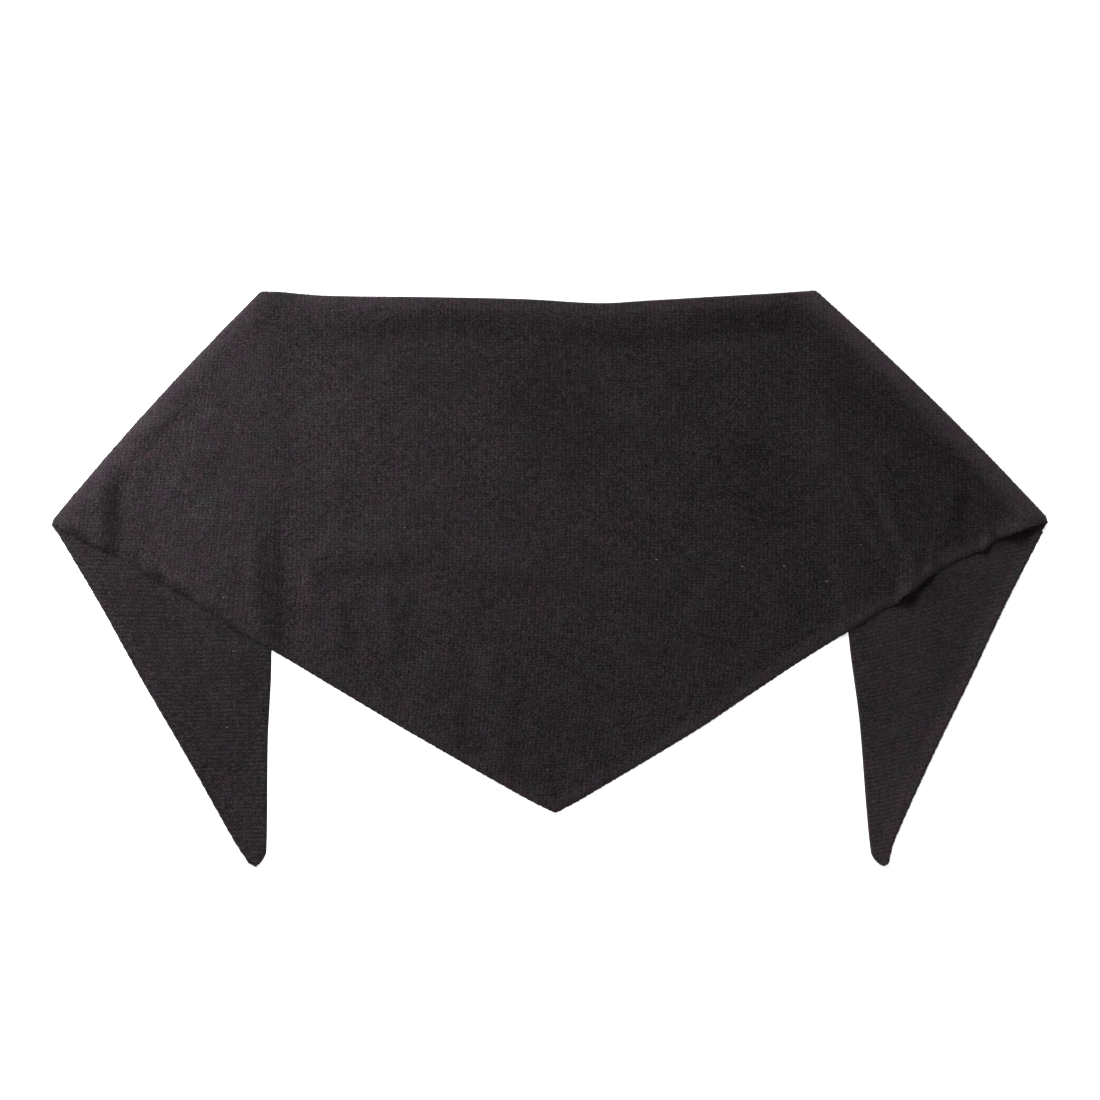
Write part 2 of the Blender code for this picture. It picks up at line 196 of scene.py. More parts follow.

# Painted shade and painted highlights along the creases: lines where the colour is darkened (-) or
# lightened (+) to stand for how the creases are lit, and where the stray fibres grow thinner or thicker.
# Columns: start x, start y, end x, end y, half width, how far lighter (+) or darker (-).
PAINTED_LIGHT_AND_NAP_LINES = (
    (-0.3460, 0.0860, -0.3450, 0.0160, 0.014, -1.60),
    (-0.3870, 0.0400, -0.3600, 0.0275, 0.010, -1.20),
    (-0.3580, 0.0260, -0.3400, 0.0150, 0.009, -1.00),
    (-0.3300, 0.0190, -0.3220, 0.0030, 0.006, -0.90),
    (-0.3180, 0.0060, -0.3020, -0.0070, 0.007, -1.10),
    (-0.2990, -0.0020, -0.2880, -0.0065, 0.005, 0.70),
    (-0.3430, 0.0165, -0.3310, 0.0095, 0.005, 0.55),
    (-0.2840, -0.0150, -0.2760, -0.0195, 0.004, 0.60),
    (-0.2680, -0.0265, -0.2560, -0.0330, 0.005, 0.55),
    (-0.3010, -0.0100, -0.2820, -0.0200, 0.007, -1.00),
    (-0.2740, -0.0280, -0.2480, -0.0410, 0.009, -1.10),
    (-0.2205, 0.0480, -0.2190, -0.0660, 0.020, -0.90),
    (-0.2250, 0.1000, -0.2240, 0.0200, 0.012, -0.25),
    (-0.1920, 0.0140, -0.1920, -0.0180, 0.010, 0.50),
    (-0.1640, -0.0140, -0.1600, -0.0560, 0.010, -0.60),
    (-0.1370, -0.0020, -0.1370, -0.0660, 0.008, 0.10),
    (-0.1080, -0.0140, -0.1230, -0.0480, 0.008, -0.40),
    (-0.1350, -0.0240, -0.1480, -0.0560, 0.007, -0.35),
    (-0.1900, 0.0090, -0.0950, 0.0080, 0.009, -0.30),
    (-0.1200, 0.0050, 0.0050, -0.0030, 0.009, -0.25),
    (-0.0310, -0.0840, -0.0310, -0.1560, 0.009, -0.10),
    (-0.0760, -0.1000, -0.0690, -0.1360, 0.009, -0.10),
    (-0.0400, 0.1700, 0.0500, 0.0900, 0.055, -0.60),
    (0.1450, 0.1200, 0.1850, 0.0300, 0.045, -0.50),
    (-0.1300, 0.1750, -0.0600, 0.1500, 0.030, -0.30),
    (-0.0570, -0.0540, -0.0570, -0.1000, 0.009, 0.30),
    (-0.2350, 0.2000, 0.0200, 0.1970, 0.019, -0.45),
    (-0.0200, 0.1930, 0.1000, 0.1960, 0.022, -0.42),
    (0.0900, 0.1990, 0.2130, 0.2030, 0.018, -0.58),
    (-0.3330, 0.1040, -0.2820, 0.1350, 0.010, -0.35),
    (0.2200, 0.1620, 0.3300, 0.0820, 0.015, -0.75),
    (0.2410, 0.0920, 0.2920, -0.0040, 0.009, -0.45),
    (0.2280, 0.0900, 0.2860, -0.0040, 0.011, 0.70),
    (0.2570, 0.0920, 0.2940, 0.0010, 0.009, 0.60),
    (0.2170, 0.1320, 0.2170, 0.0850, 0.012, 0.60),
    (0.3330, 0.0850, 0.3330, 0.0300, 0.008, -0.45),
)

# Waves where the lower edge lifts off the ends. Columns: centre x, half length, reach inward, height.
LIFTS = (
    (-0.3720, 0.012, 0.018, 0.0022),
    (-0.3190, 0.012, 0.020, 0.0026),
    (-0.2990, 0.010, 0.018, 0.0020),
    (-0.2500, 0.014, 0.018, 0.0016),
    (0.2540, 0.014, 0.026, 0.0008),
    (0.2880, 0.014, 0.040, 0.0120),
    (0.3030, 0.009, 0.030, 0.0050),
    (0.3490, 0.008, 0.020, 0.0050),
    (0.3800, 0.024, 0.028, 0.0095),
)

# Pale specks of lint. Columns: x, y.
LINT_SPOTS = (
    (-0.2580, -0.1190),
    (-0.2516, -0.0574),
    (-0.2612, -0.0158),
    (0.2468, 0.0258),
    (0.2212, -0.0022),
    (-0.1140, 0.0402),
    (-0.0012, -0.1518),
    (0.1540, 0.0098),
    (0.1860, 0.0098),
    (0.0864, 0.0162),
)

Array = np.ndarray
Gap = Callable[[Array, Array], Array]
Place = tuple[float, float, float]
Table = tuple[tuple[float, ...], ...]
Tint = Place | bpy.types.NodeSocket
Inputs = dict[str | int, object]


class Stitch(Enum):
    """The ways in which a sheet's stitches show, with the names of their finishes."""

    FACE = "knit_face"
    REVERSE = "knit_reverse"
    RIB = "rib_border"


class Side(Enum):
    """The two ends of the scarf, with the sign of their x."""

    LEFT = -1
    RIGHT = 1


class Brim(Enum):
    """What an edge of a sheet is: free and rounded, or met by its neighbour."""

    FREE = "free"
    JOINED = "joined"


def fade(distance: Array, run: float) -> Array:
    """Falls smoothly from 1 at no distance to 0 at the end of a run."""
    t = np.clip(distance / run, 0.0, 1.0)
    return 1 - t * t * (3 - 2 * t)


def waves(start: Array, x: Array, y: Array, table: Table) -> Array:
    """Adds sine waves, as rows of height, turn for each metre of x and turn for each metre of y."""
    return sum((height * np.sin(x * turn_x + y * turn_y) for height, turn_x, turn_y in table), start)


def nubs(place: Array, pitch: float) -> Array:
    """How far an edge of stitches draws in between its nubs, whose mean spacing is the pitch."""
    turns = 2 * math.pi * sum((share * np.sin(place * turn) for share, turn in NUB_WANDER), place / pitch)
    return NUB_DEPTH * (0.5 - 0.5 * np.cos(turns)) + LOOP_DEPTH * (1 - np.cos(2 * math.pi * place / WALE))


def grid_line(place: float, pitch: float, lines: int) -> int:
    """The nearest to a place of the grid lines that lie between two stitches."""
    return lines * round(place / pitch)


def read(items: bpy.types.bpy_prop_collection, key: str, width: int = 1, kind: type = np.float64) -> Array:
    """Reads numbers of all items at once, such as the places of a mesh's points.

    Args:
        items: the items.
        key: what to read of each.
        width: how many numbers an item has.
        kind: the numbers' type.

    Returns:
        A row for each item, or one number for each where the width is 1.
    """
    values = np.empty(len(items) * width, kind)
    items.foreach_get(key, values)
    return values.reshape(-1, width) if width > 1 else values


def write(items: bpy.types.bpy_prop_collection, key: str, values: Array) -> None:
    """Writes numbers to all items at once."""
    items.foreach_set(key, values.astype(np.float32).ravel())


def finished(bm: bmesh.types.BMesh, name: str) -> bpy.types.Mesh:
    """Turns a bmesh into a mesh, and frees it.

    Args:
        bm: the bmesh.
        name: the mesh's name.

    Returns:
        The mesh.
    """
    mesh = bpy.data.meshes.new(name)
    bm.to_mesh(mesh)
    bm.free()
    return mesh


def put_in_scene(name: str, data: bpy.types.ID) -> bpy.types.Object:
    """Makes an object at the origin and links it to the scene.

    Args:
        name: the object's name.
        data: its mesh, light or camera.

    Returns:
        The object.
    """
    made = bpy.data.objects.new(name, data)
    bpy.context.collection.objects.link(made)
    return made


@dataclass(frozen=True)
class Curve:
    """A smooth curve through a short table of (position, value), straight beyond both of its ends."""

    rows: Table

    def at(self, place: Array) -> Array:
        """Reads the curve.

        Args:
            place: positions along the curve.

        Returns:
            The value at each position.
        """
        spots, values = np.array(sorted(self.rows)).T
        slopes = np.gradient(values, spots, edge_order=1)
        slopes[1:-1] = (values[2:] - values[:-2]) / (spots[2:] - spots[:-2])
        inner = np.clip(place, spots[0], spots[-1])
        k = np.clip(np.searchsorted(spots, inner) - 1, 0, len(spots) - 2)
        run = spots[k + 1] - spots[k]
        t = (inner - spots[k]) / run
        curved = (
            (2 * t**3 - 3 * t**2 + 1) * values[k]
            + (t**3 - 2 * t**2 + t) * run * slopes[k]
            + (3 * t**2 - 2 * t**3) * values[k + 1]
            + (t**3 - t**2) * run * slopes[k + 1]
        )
        return curved + np.where(place < inner, slopes[0], slopes[-1]) * (place - inner)


@dataclass(frozen=True)
class Outline:
    """The outline of the scarf as it lies: the long edge above and the lower edge below."""

    long_edge: Curve = Curve(LONG_EDGE)
    lower_edge: Curve = Curve(LOWER_EDGE)

    def seam(self, x: Array) -> Array:
        """Height in y of the line where the ribbed border begins."""
        return self.long_edge.at(x) - BORDER_WIDTH


@dataclass
class Fold:
    """One slanting fold: a gently bowed outline from the side corner up to the shoulder."""

    side: Side
    corner: Vector
    shoulder: Vector
    outer: Curve
    inner: Curve
    outline: Outline
    lag: tuple[float, float] = (0.5, 2.0)
    slant: tuple[float, float] = (0.3, 1.0)

    def __post_init__(self) -> None:
        """Works out the fold's directions and the shares at which its crest meets the edges."""
        run = self.shoulder - self.corner
        self.length = run.length
        self.along = run.normalized()
        self.outward = Vector((self.along.y, -self.along.x)) * self.side.value
        lower, upper = (np.linspace(*pair, CREST_STEPS) for pair in zip(CREST_SHARES, CREST_SHARES[1:]))
        self.start = self.crossing(lower, lambda x, y: y - self.outline.lower_edge.at(x))
        self.seam = self.crossing(upper, lambda x, y: y - self.outline.seam(x))
        self.end = self.crossing(upper, lambda x, y: y - self.outline.long_edge.at(x))

    def crossing(self, shares: Array, gap: Gap) -> float:
        """The share, among some that rise, at which the crest meets an edge."""
        return float(np.interp(0.0, gap(*self.inset(shares, np.full_like(shares, ROLL_RADIUS))), shares))

    def bow(self, share: Array) -> Array:
        """How far the outline bows outward at shares of the way up the fold."""
        return FOLD_BOW * 4 * share * (1 - share)

    def inset(self, share: Array, distance: Array) -> tuple[Array, Array]:
        """Points inside the fold's outline.

        Args:
            share: shares of the way up the fold.
            distance: distances inside the outline.

        Returns:
            The points' x and y.
        """
        tilt = FOLD_BOW * 4 * (1 - 2 * share) / self.length
        size = np.hypot(1.0, tilt)
        out = self.bow(share) - distance / size
        up = share * self.length + distance * tilt / size
        x = self.corner.x + self.along.x * up + self.outward.x * out
        y = self.corner.y + self.along.y * up + self.outward.y * out
        return x, y

    def share(self, x: Array, y: Array) -> Array:
        """Share of the way up the fold for each point."""
        return ((x - self.corner.x) * self.along.x + (y - self.corner.y) * self.along.y) / self.length

    def depth(self, x: Array, y: Array) -> Array:
        """Distance of each point inside the fold's outline."""
        out = (x - self.corner.x) * self.outward.x + (y - self.corner.y) * self.outward.y
        return self.bow(self.share(x, y)) - out

    def behind(self, share: Array, past: Array) -> Array:
        """How far an edge that goes round the roll has moved towards the corner.

        Args:
            share: shares of the way up the fold.
            past: lengths of cloth past the crest.

        Returns:
            Lengths along the fold.
        """
        turn = np.clip(past / ROLL_RADIUS, 0.0, math.pi)
        back = np.maximum(past - math.pi * ROLL_RADIUS, 0.0)
        lag = ROLL_RADIUS * (self.lag[0] + (self.lag[1] - self.lag[0]) * share)
        slant = self.slant[0] + (self.slant[1] - self.slant[0]) * share
        return lag * (1 - np.cos(turn)) / 2 + slant * back

    def room(self, x: Array, y: Array, share: float) -> Array:
        """Length along the fold from each point up to an edge.

        Args:
            x: places on the flat cloth.
            y: places on the flat cloth.
            share: where the edge crosses the crest, as a share of the way up the fold.

        Returns:
            Lengths along the fold.
        """
        past = np.maximum(ROLL_RADIUS - self.depth(x, y), 0.0)
        at = self.share(x, y)
        return share * self.length - self.behind(at, past) - at * self.length

    def past_inner(self, x: Array, y: Array) -> Array:
        """Distance of each point past the folded end's inner edge, towards the middle of the scarf."""
        return (self.inner.at(y) - x) * self.side.value


@dataclass
class Edge:
    """An edge of a sheet: its kind and the distance of a point inside it."""

    brim: Brim
    gap: Gap


@dataclass
class Relief:
    """A kind of stitch: its wall, its height, and its heights and shifts on its own grid lines."""

    wall: float
    height: float
    rows: Table
    shift: Callable[[Array], Array]
    unevenness: float = 0.15
    fuzz: float = 0.13
    sunk: float = 0.8

    def at(self, column: Array, row: Array, dice: np.random.Generator) -> Array:
        """Height of the stitches above the sheet's base.

        Args:
            column: grid lines across the wales.
            row: grid lines along them.
            dice: the source of the stitches' unevenness.

        Returns:
            A height in metres for each point.
        """
        across = np.round(column).astype(int)
        along = np.round(row).astype(int)
        base = np.array(self.rows)[along % ALONG, across % ACROSS]
        wales, courses = across // ACROSS, along // ALONG
        size = (wales.max() - wales.min() + 1, courses.max() - courses.min() + 1)
        uneven = dice.normal(1.0, self.unevenness, size)
        fuzz = dice.normal(0.0, self.fuzz, len(base))
        return self.height * (base * uneven[wales - wales.min(), courses - courses.min()] + fuzz)


def chevron(column: Array) -> Array:
    """Share of a course by which a plain stitch's two legs lean together at their middle."""
    return 0.5 - np.abs(column / ACROSS - np.floor(column / ACROSS) - 0.5)


def ripple(column: Array) -> Array:
    """Share of a course by which the loops on the reverse wave up and down."""
    return RIPPLE * np.cos(2 * math.pi * column / ACROSS)


RELIEFS = {
    Stitch.FACE: Relief(KNIT_WALL, 0.00065, ((0.12, 0.50, 0.30, 0.50), (0.18, 1.0, 0.55, 1.0)), chevron),
    Stitch.REVERSE: Relief(KNIT_WALL, 0.00055, ((0.10, 0.35, 0.40, 0.35), (0.30, 0.90, 1.0, 0.90)), ripple),
    Stitch.RIB: Relief(
        BORDER_WALL, 0.00050, ((0.0, 0.75, 0.95, 0.75), (0.0, 0.85, 1.0, 0.85)), np.zeros_like, 0.16
    ),
}


@dataclass
class Cloth:
    """A finished sheet: its piece, the size it was cut to and the points that fibres can grow from."""

    piece: bpy.types.Object
    flat: tuple[float, float]
    area: float
    points: Array
    normals: Array
    nap_and_painted_light: Array
    above: Array
    frays: Array


@dataclass
class Sheet:
    """A sheet of knit: laid out in stitches, cut to its edges and closed underneath.

    Columns and rows count grid lines. The form is the part of the scarf that the sheet belongs to: it lays
    the grid on the flat cloth, and puts points of the flat cloth where they are on the scarf. The sheet
    stands for a node, and rests on the pieces under it.
    """

    name: str
    node: str
    stitch: Stitch
    form: "Front | End"
    columns: tuple[int, int]
    rows: tuple[int, int]
    edges: list[Edge]
    seed: int
    under: tuple[str, ...] = ()
    rounding: float = 0.0016
    rim_share: float = 0.15
    # A painted highlight along the free edges, which also thickens the stray fibres there.
    rim_highlight_and_nap: float = 0.5
    rim_reach: float = 1.5 * COURSE
    tuck: float = 0.0004
    under_step: tuple[int, int] = (8, 4)
    under_margin: float = 0.007
    probe: float = 0.00005
    pull_reach: float = 0.0028
    pull_rounds: int = 2
    least_slope: float = 0.2

    def spot(self, column: Array, row: Array) -> tuple[Array, Array]:
        """Place on the flat cloth of a point of the grid."""
        shift = RELIEFS[self.stitch].shift(column)
        return self.form.lay(column * WALE / ACROSS, (row / ALONG + shift) * COURSE)

    def inside(self, x: Array, y: Array) -> Array:
        """Distance of each point inside the nearest edge."""
        return np.min([edge.gap(x, y) for edge in self.edges], axis=0)

    def add_cells(self, bm: bmesh.types.BMesh, step: tuple[int, int], margin: float, height: float) -> None:
        """Adds the grid's cells that lie inside all edges.

        Args:
            bm: the mesh to add to.
            step: grid lines to a cell, across and along.
            margin: how far inside the edges a cell's middle has to be.
            height: the height of the cells in the layout.
        """
        spans = [
            (lines[0] + size - 1, (lines[1] - lines[0] - 2 * (size - 1)) // size)
            for lines, size in zip((self.columns, self.rows), step)
        ]
        (left, wide), (low, high) = spans
        if min(wide, high) < 1:
            return
        made = bmesh.ops.create_grid(bm, x_segments=wide, y_segments=high, size=0.5)["verts"]
        wide, high = wide * step[0], high * step[1]
        place = Matrix.Translation((left + wide / 2, low + high / 2, height))
        bmesh.ops.transform(bm, matrix=place @ Matrix.Diagonal((wide, high, 1.0, 1.0)), verts=made)
        faces = list({face for vert in made for face in vert.link_faces})
        middles = np.array([face.calc_center_median() for face in faces])
        room = self.inside(*self.spot(middles[:, 0], middles[:, 1]))
        outside = [face for face, gap in zip(faces, room) if gap <= margin]
        bmesh.ops.delete(bm, geom=outside, context="FACES")
        self.trim(bm)

    def trim(self, bm: bmesh.types.BMesh) -> None:
        """Takes off cells that hang on by a corner.

        Args:
            bm: the mesh to trim.
        """
        while True:
            pinched = [vert for vert in bm.verts if sum(edge.is_boundary for edge in vert.link_edges) > 2]
            if not pinched:
                return
            faces = list({face for vert in pinched for face in vert.link_faces})
            bmesh.ops.delete(bm, geom=faces, context="FACES")

    def nearest(self, x: Array, y: Array) -> tuple[Array, Array]:
        """The nearest edge of each point.

        Args:
            x: places across.
            y: places along.

        Returns:
            The edge's number and its signed distance.
        """
        gaps = np.array([edge.gap(x, y) for edge in self.edges])
        index = np.argmin(np.abs(gaps), axis=0)
        return index, np.take_along_axis(gaps, index[None], axis=0)[0]

    def pull(self, x: Array, y: Array, target: float) -> tuple[Array, Array]:
        """Moves points of the rim to a distance inside their nearest edge.

        Args:
            x: places across.
            y: places along.
            target: the distance inside the edge.

        Returns:
            The moved points' x and y. Points far from every edge stay.
        """
        for _ in range(self.pull_rounds):
            index, gap = self.nearest(x, y)
            slope_x, slope_y = np.zeros_like(x), np.zeros_like(y)
            for number, edge in enumerate(self.edges):
                mine = index == number
                here = edge.gap(x[mine], y[mine])
                slope_x[mine] = (edge.gap(x[mine] + self.probe, y[mine]) - here) / self.probe
                slope_y[mine] = (edge.gap(x[mine], y[mine] + self.probe) - here) / self.probe
            steep = np.maximum(slope_x**2 + slope_y**2, self.least_slope)
            move = np.where(np.abs(gap) < self.pull_reach, target - gap, 0.0) / steep
            x, y = x + move * slope_x, y + move * slope_y
        return x, y

    def layout(self) -> bpy.types.Mesh:
        """Builds the closed sheet in grid coordinates.

        Returns:
            A mesh whose points are (column, row, side of the sheet).
        """
        bm = bmesh.new()
        mark = bm.verts.layers.int.new(RIM_MARK)
        self.add_cells(bm, (1, 1), 0.0, UPPER)
        rim = [edge for edge in bm.edges if edge.is_boundary]
        middles = np.array([(edge.verts[0].co + edge.verts[1].co) / 2 for edge in rim])
        index, gap = self.nearest(*self.spot(middles[:, 0], middles[:, 1]))
        for edge, number, distance in zip(rim, index, gap):
            edge.smooth = bool(self.edges[number].brim is Brim.FREE and abs(distance) < self.rim_reach)
            for vert in edge.verts:
                vert[mark] = 1
        grown = bmesh.ops.extrude_edge_only(bm, edges=rim)["geom"]
        lower = [item for item in grown if isinstance(item, bmesh.types.BMVert)]
        bmesh.ops.translate(bm, verts=lower, vec=(0.0, 0.0, LOWER - UPPER))
        self.add_cells(bm, self.under_step, self.under_margin, LOWER)
        open_edges = [edge for edge in bm.edges if edge.is_boundary]
        bmesh.ops.triangle_fill(bm, use_beauty=True, use_dissolve=False, edges=open_edges)
        left_open = sum(1 for edge in bm.edges if not edge.is_manifold)
        if left_open:
            log.warning("%s has %d open edges", self.name, left_open)
        bmesh.ops.recalc_face_normals(bm, faces=bm.faces)
        return finished(bm, self.name)

    def cut(self, mesh: bpy.types.Mesh, x: Array, y: Array, upper: Array) -> tuple[float, float, float]:
        """Works out the size that the sheet was cut to.

        Args:
            mesh: the closed sheet.
            x: places of its points on the flat cloth.
            y: places of its points on the flat cloth.
            upper: whether each point is on the upper side.

        Returns:
            The flat width, length and area.
        """
        corners = read(mesh.loops, "vertex_index", kind=np.int32)
        starts = read(mesh.polygons, "loop_start", kind=np.int32)
        after = np.arange(1, len(corners) + 1)
        after[np.append(starts[1:], len(corners)) - 1] = starts
        follower = corners[after]
        areas = np.add.reduceat(x[corners] * y[follower] - x[follower] * y[corners], starts) / 2
        area = float(np.abs(areas[np.logical_and.reduceat(upper[corners], starts)]).sum())
        if self.stitch is Stitch.RIB:
            return BORDER_WIDTH, area / BORDER_WIDTH, area
        return float(np.ptp(x[upper])), float(np.ptp(y[upper])), area

    def build(self) -> Cloth:
        """Makes the sheet.

        Returns:
            The finished cloth, whose piece carries its stitch map and its nap weight, which paints light
            and shade into its colour.
        """
        mesh = self.layout()
        column, row, side = read(mesh.vertices, "co", 3).T
        rim = read(mesh.attributes[RIM_MARK].data, "value", kind=np.int32) > 0
        mesh.attributes.remove(mesh.attributes[RIM_MARK])
        x, y = self.spot(column, row)
        upper = side > (UPPER + LOWER) / 2
        for picked, target in ((rim & upper, 0.0), (rim & ~upper, self.tuck)):
            x[picked], y[picked] = self.pull(x[picked], y[picked], target)
        free, joined = (
            np.min([edge.gap(x, y) for edge in self.edges if edge.brim is brim], axis=0) for brim in Brim
        )
        round_off = 1 - (1 - np.clip(free / self.rounding, 0.0, 1.0)) ** 2
        relief = RELIEFS[self.stitch]
        bumps = relief.at(column, row, np.random.default_rng(self.seed))
        rounded = self.rim_share + (1 - self.rim_share) * round_off
        body = (relief.wall - relief.height * relief.sunk) * rounded
        above = np.where(upper, body + bumps * round_off * self.form.calm(x, y), 0.0)
        write(mesh.vertices, "co", self.form.set_down(x, y, above, relief.wall))
        corners = read(mesh.loops, "vertex_index", kind=np.int32)
        chart = mesh.uv_layers.new(name=STITCH_MAP)
        write(chart.uv, "vector", np.stack([column / ACROSS, row / ALONG], axis=1)[corners])
        # The nap weight: the form's painted light and shade, and a painted highlight along the free edges.
        nap_and_painted_light = self.form.nap_and_painted_light(x, y) + self.rim_highlight_and_nap * fade(free, self.rounding)
        write(mesh.attributes.new(NAP_AND_PAINTED_LIGHT, "FLOAT", "POINT").data, "value", nap_and_painted_light)
        mesh.shade_smooth()
        mesh.update()
        piece = put_in_scene(self.name, mesh)
        *flat, area = self.cut(mesh, x, y, upper)
        log.info("%s: %d faces, %.4f m2 flat", self.name, len(mesh.polygons), area)
        points, normals = read(mesh.vertices, "co", 3), read(mesh.vertices, "normal", 3)
        within = (column > self.columns[0]) & (column < self.columns[1]) & (joined > FRAY_CLEARANCE)
        frays = within & (np.abs(normals[:, 2]) < FRAY_STEEP) & (points[:, 2] > FRAY_LOWEST)
        return Cloth(piece, tuple(flat), area, points, normals, nap_and_painted_light, above, frays)


@dataclass
class Front:
    """The front of the scarf: the body between the two folds, with its rolls and its ribbed border."""

    outline: Outline
    folds: tuple[Fold, Fold]
    reach: float = 0.418
    splits: tuple[float, float] = (-0.1042, 0.1042)
    heights: tuple[float, float] = (-0.196, 0.246)
    border_from: float = 0.15
    lean_low: float = 0.105
    lean_low_start: float = -0.030
    lean_low_soft: float = 0.020
    lean_left: float = 0.13
    lean_left_level: float = 0.06
    lean_left_start: float = -0.19
    lean_left_run: float = 0.10
    course_waves: Table = ((0.0006, 34.0, 0.0), (0.0008, 13.0, 9.0))
    sharp_below: float = 0.035
    softening: float = 0.060
    swell_base: float = 0.0004
    bend: float = 0.004
    bend_turn: float = 26.0
    bend_starts: tuple[float, float] = (0.7, 0.4)
    # Painted sheen highlights on the folds and along the long edge, and a painted highlight along the lower
    # edge, strongest on the right; they also thicken the stray fibres there.
    fold_sheen_and_nap: tuple[float, float] = (1.7, 3.2)
    fold_sheen_run: float = 0.018
    long_edge_sheen_and_nap: float = 1.2
    lower_highlight_and_nap: tuple[float, float, float] = (0.0, 0.6, 2.0)
    lower_highlight_places: tuple[float, float, float] = (-0.25, -0.1, 0.1)
    lower_highlight_run: float = 0.020
    edge_rounding: float = 0.0055
    nub_pitch: float = 0.0066
    roll_slant: float = 0.7
    calm_from: float = 0.5 * math.pi
    calm_run: float = 0.4 * math.pi

    def lay(self, across: Array, along: Array) -> tuple[Array, Array]:
        """Lays the stitches on the flat cloth: the wales lean below the middle and at the left fold.

        Args:
            across: lengths across the wales.
            along: lengths along the wales.

        Returns:
            Places x and y on the flat cloth.
        """
        below = self.lean_low_soft * np.logaddexp(0.0, (self.lean_low_start - along) / self.lean_low_soft)
        left = 1 - fade(self.lean_left_start - across, self.lean_left_run)
        x = across - self.lean_low * below + self.lean_left * (along - self.lean_left_level) * left
        return x, waves(along, across, along, self.course_waves)

    def underside(self, x: Array, y: Array, wall: float) -> Array:
        """Height of the underside: on the surface, over an end, and rising to the rolls.

        Args:
            x: places on the flat cloth.
            y: places on the flat cloth.
            wall: the wall of the cloth.

        Returns:
            A height for each place.
        """
        over, rolled = np.zeros_like(x), np.zeros_like(x)
        run = STEP_RUN + STEP_SOFT * (1 - fade(y - self.sharp_below, self.softening))
        for fold in self.folds:
            rolled = np.maximum(rolled, fade(fold.depth(x, y) - ROLL_RADIUS, ROLL_RUN_OUT))
            over = np.maximum(over, fade((fold.past_inner(x, y) - STEP_CLEARANCE) / run, 1.0))
        loose = self.swell(x, y) + self.lines(x, y, RIDGES + CREASES)
        rise = y - self.outline.lower_edge.at(x)
        for centre, half_length, inward, height in LIFTS:
            loose = loose + height * fade(np.abs(x - centre), half_length) * fade(rise, inward)
        hump = (2 * ROLL_RADIUS - wall - LAYER) * rolled
        layer = LAYER - EDGE_HUG * fade(rise, self.edge_rounding)
        return layer * np.maximum(over, rolled) + hump + (1 - rolled) * np.maximum(loose, 0.0)

    def swell(self, x: Array, y: Array) -> Array:
        """Slight unevenness of cloth that was smoothed out by hand.

        Args:
            x: places on the flat cloth.
            y: places on the flat cloth.

        Returns:
            A height for each place.
        """
        total = np.full_like(x, self.swell_base)
        for height, turn_x, sway_x, bend_x, turn_y, sway_y, bend_y in SWELLS:
            across = np.sin(turn_x * x + sway_x * np.sin(bend_x * y))
            total = total + height * (across * np.sin(turn_y * y + sway_y * np.sin(bend_y * x)))
        return total

    def lines(self, x: Array, y: Array, table: Table) -> Array:
        """Adds up soft lines, each of which fades at both ends and bends a little.

        Args:
            x: places on the flat cloth.
            y: places on the flat cloth.
            table: rows of start x, start y, end x, end y, half width and strength.

        Returns:
            The lines' strength at each place.
        """
        bent_x = x + self.bend * np.sin(self.bend_turn * y + self.bend_starts[0])
        bent_y = y + self.bend * np.sin(self.bend_turn * x + self.bend_starts[1])
        total = np.zeros_like(x)
        for x0, y0, x1, y1, half_width, strength in table:
            run_x, run_y = x1 - x0, y1 - y0
            t = ((bent_x - x0) * run_x + (bent_y - y0) * run_y) / (run_x**2 + run_y**2)
            t = np.clip(t, 0.0, 1.0)
            distance = np.hypot(bent_x - x0 - run_x * t, bent_y - y0 - run_y * t)
            total = total + strength * fade(distance, half_width) * (1 - np.abs(2 * t - 1) ** 3)
        return total

    def past_crest(self, x: Array, y: Array) -> Array:
        """Length of cloth past the nearer fold's crest, below 0 on the flat part."""
        return ROLL_RADIUS - np.min([fold.depth(x, y) for fold in self.folds], axis=0)

    def set_down(self, x: Array, y: Array, above: Array, wall: float) -> Array:
        """Puts points on the scarf: flat, or round a roll and back under it.

        Args:
            x: places on the flat cloth.
            y: places on the flat cloth.
            above: heights above the underside.
            wall: the wall of the cloth.

        Returns:
            The points.
        """
        points = np.stack([x, y, self.underside(x, y, wall) + above], axis=1)
        for fold in self.folds:
            past = ROLL_RADIUS - fold.depth(x, y)
            on = past > 0
            turn = np.clip(past[on] / ROLL_RADIUS, 0.0, math.pi)
            back = np.maximum(past[on] - math.pi * ROLL_RADIUS, 0.0)
            radius = ROLL_RADIUS - wall + above[on]
            distance = ROLL_RADIUS - radius * np.sin(turn) + back
            roll_x, roll_y = fold.inset(fold.share(x[on], y[on]), distance)
            height = np.maximum(ROLL_RADIUS + radius * np.cos(turn), 0.0)
            points[on] = np.stack([roll_x, roll_y, height], axis=1)
        return points

    def calm(self, x: Array, y: Array) -> Array:
        """Share of the stitches' relief, pressed flat where a roll rests on the surface."""
        return fade(self.past_crest(x, y) / ROLL_RADIUS - self.calm_from, self.calm_run)

    def nap_and_painted_light(self, x: Array, y: Array) -> Array:
        """How much the nap stands up and how much light and shade is painted: painted sheen highlights at
        the folds and the long edge, a painted highlight along the lower edge, and painted shade and
        highlights along the creases.

        Args:
            x: places on the flat cloth.
            y: places on the flat cloth.

        Returns:
            A weight for each place: it lightens the colour, and below 0 it darkens it as painted shade.
        """
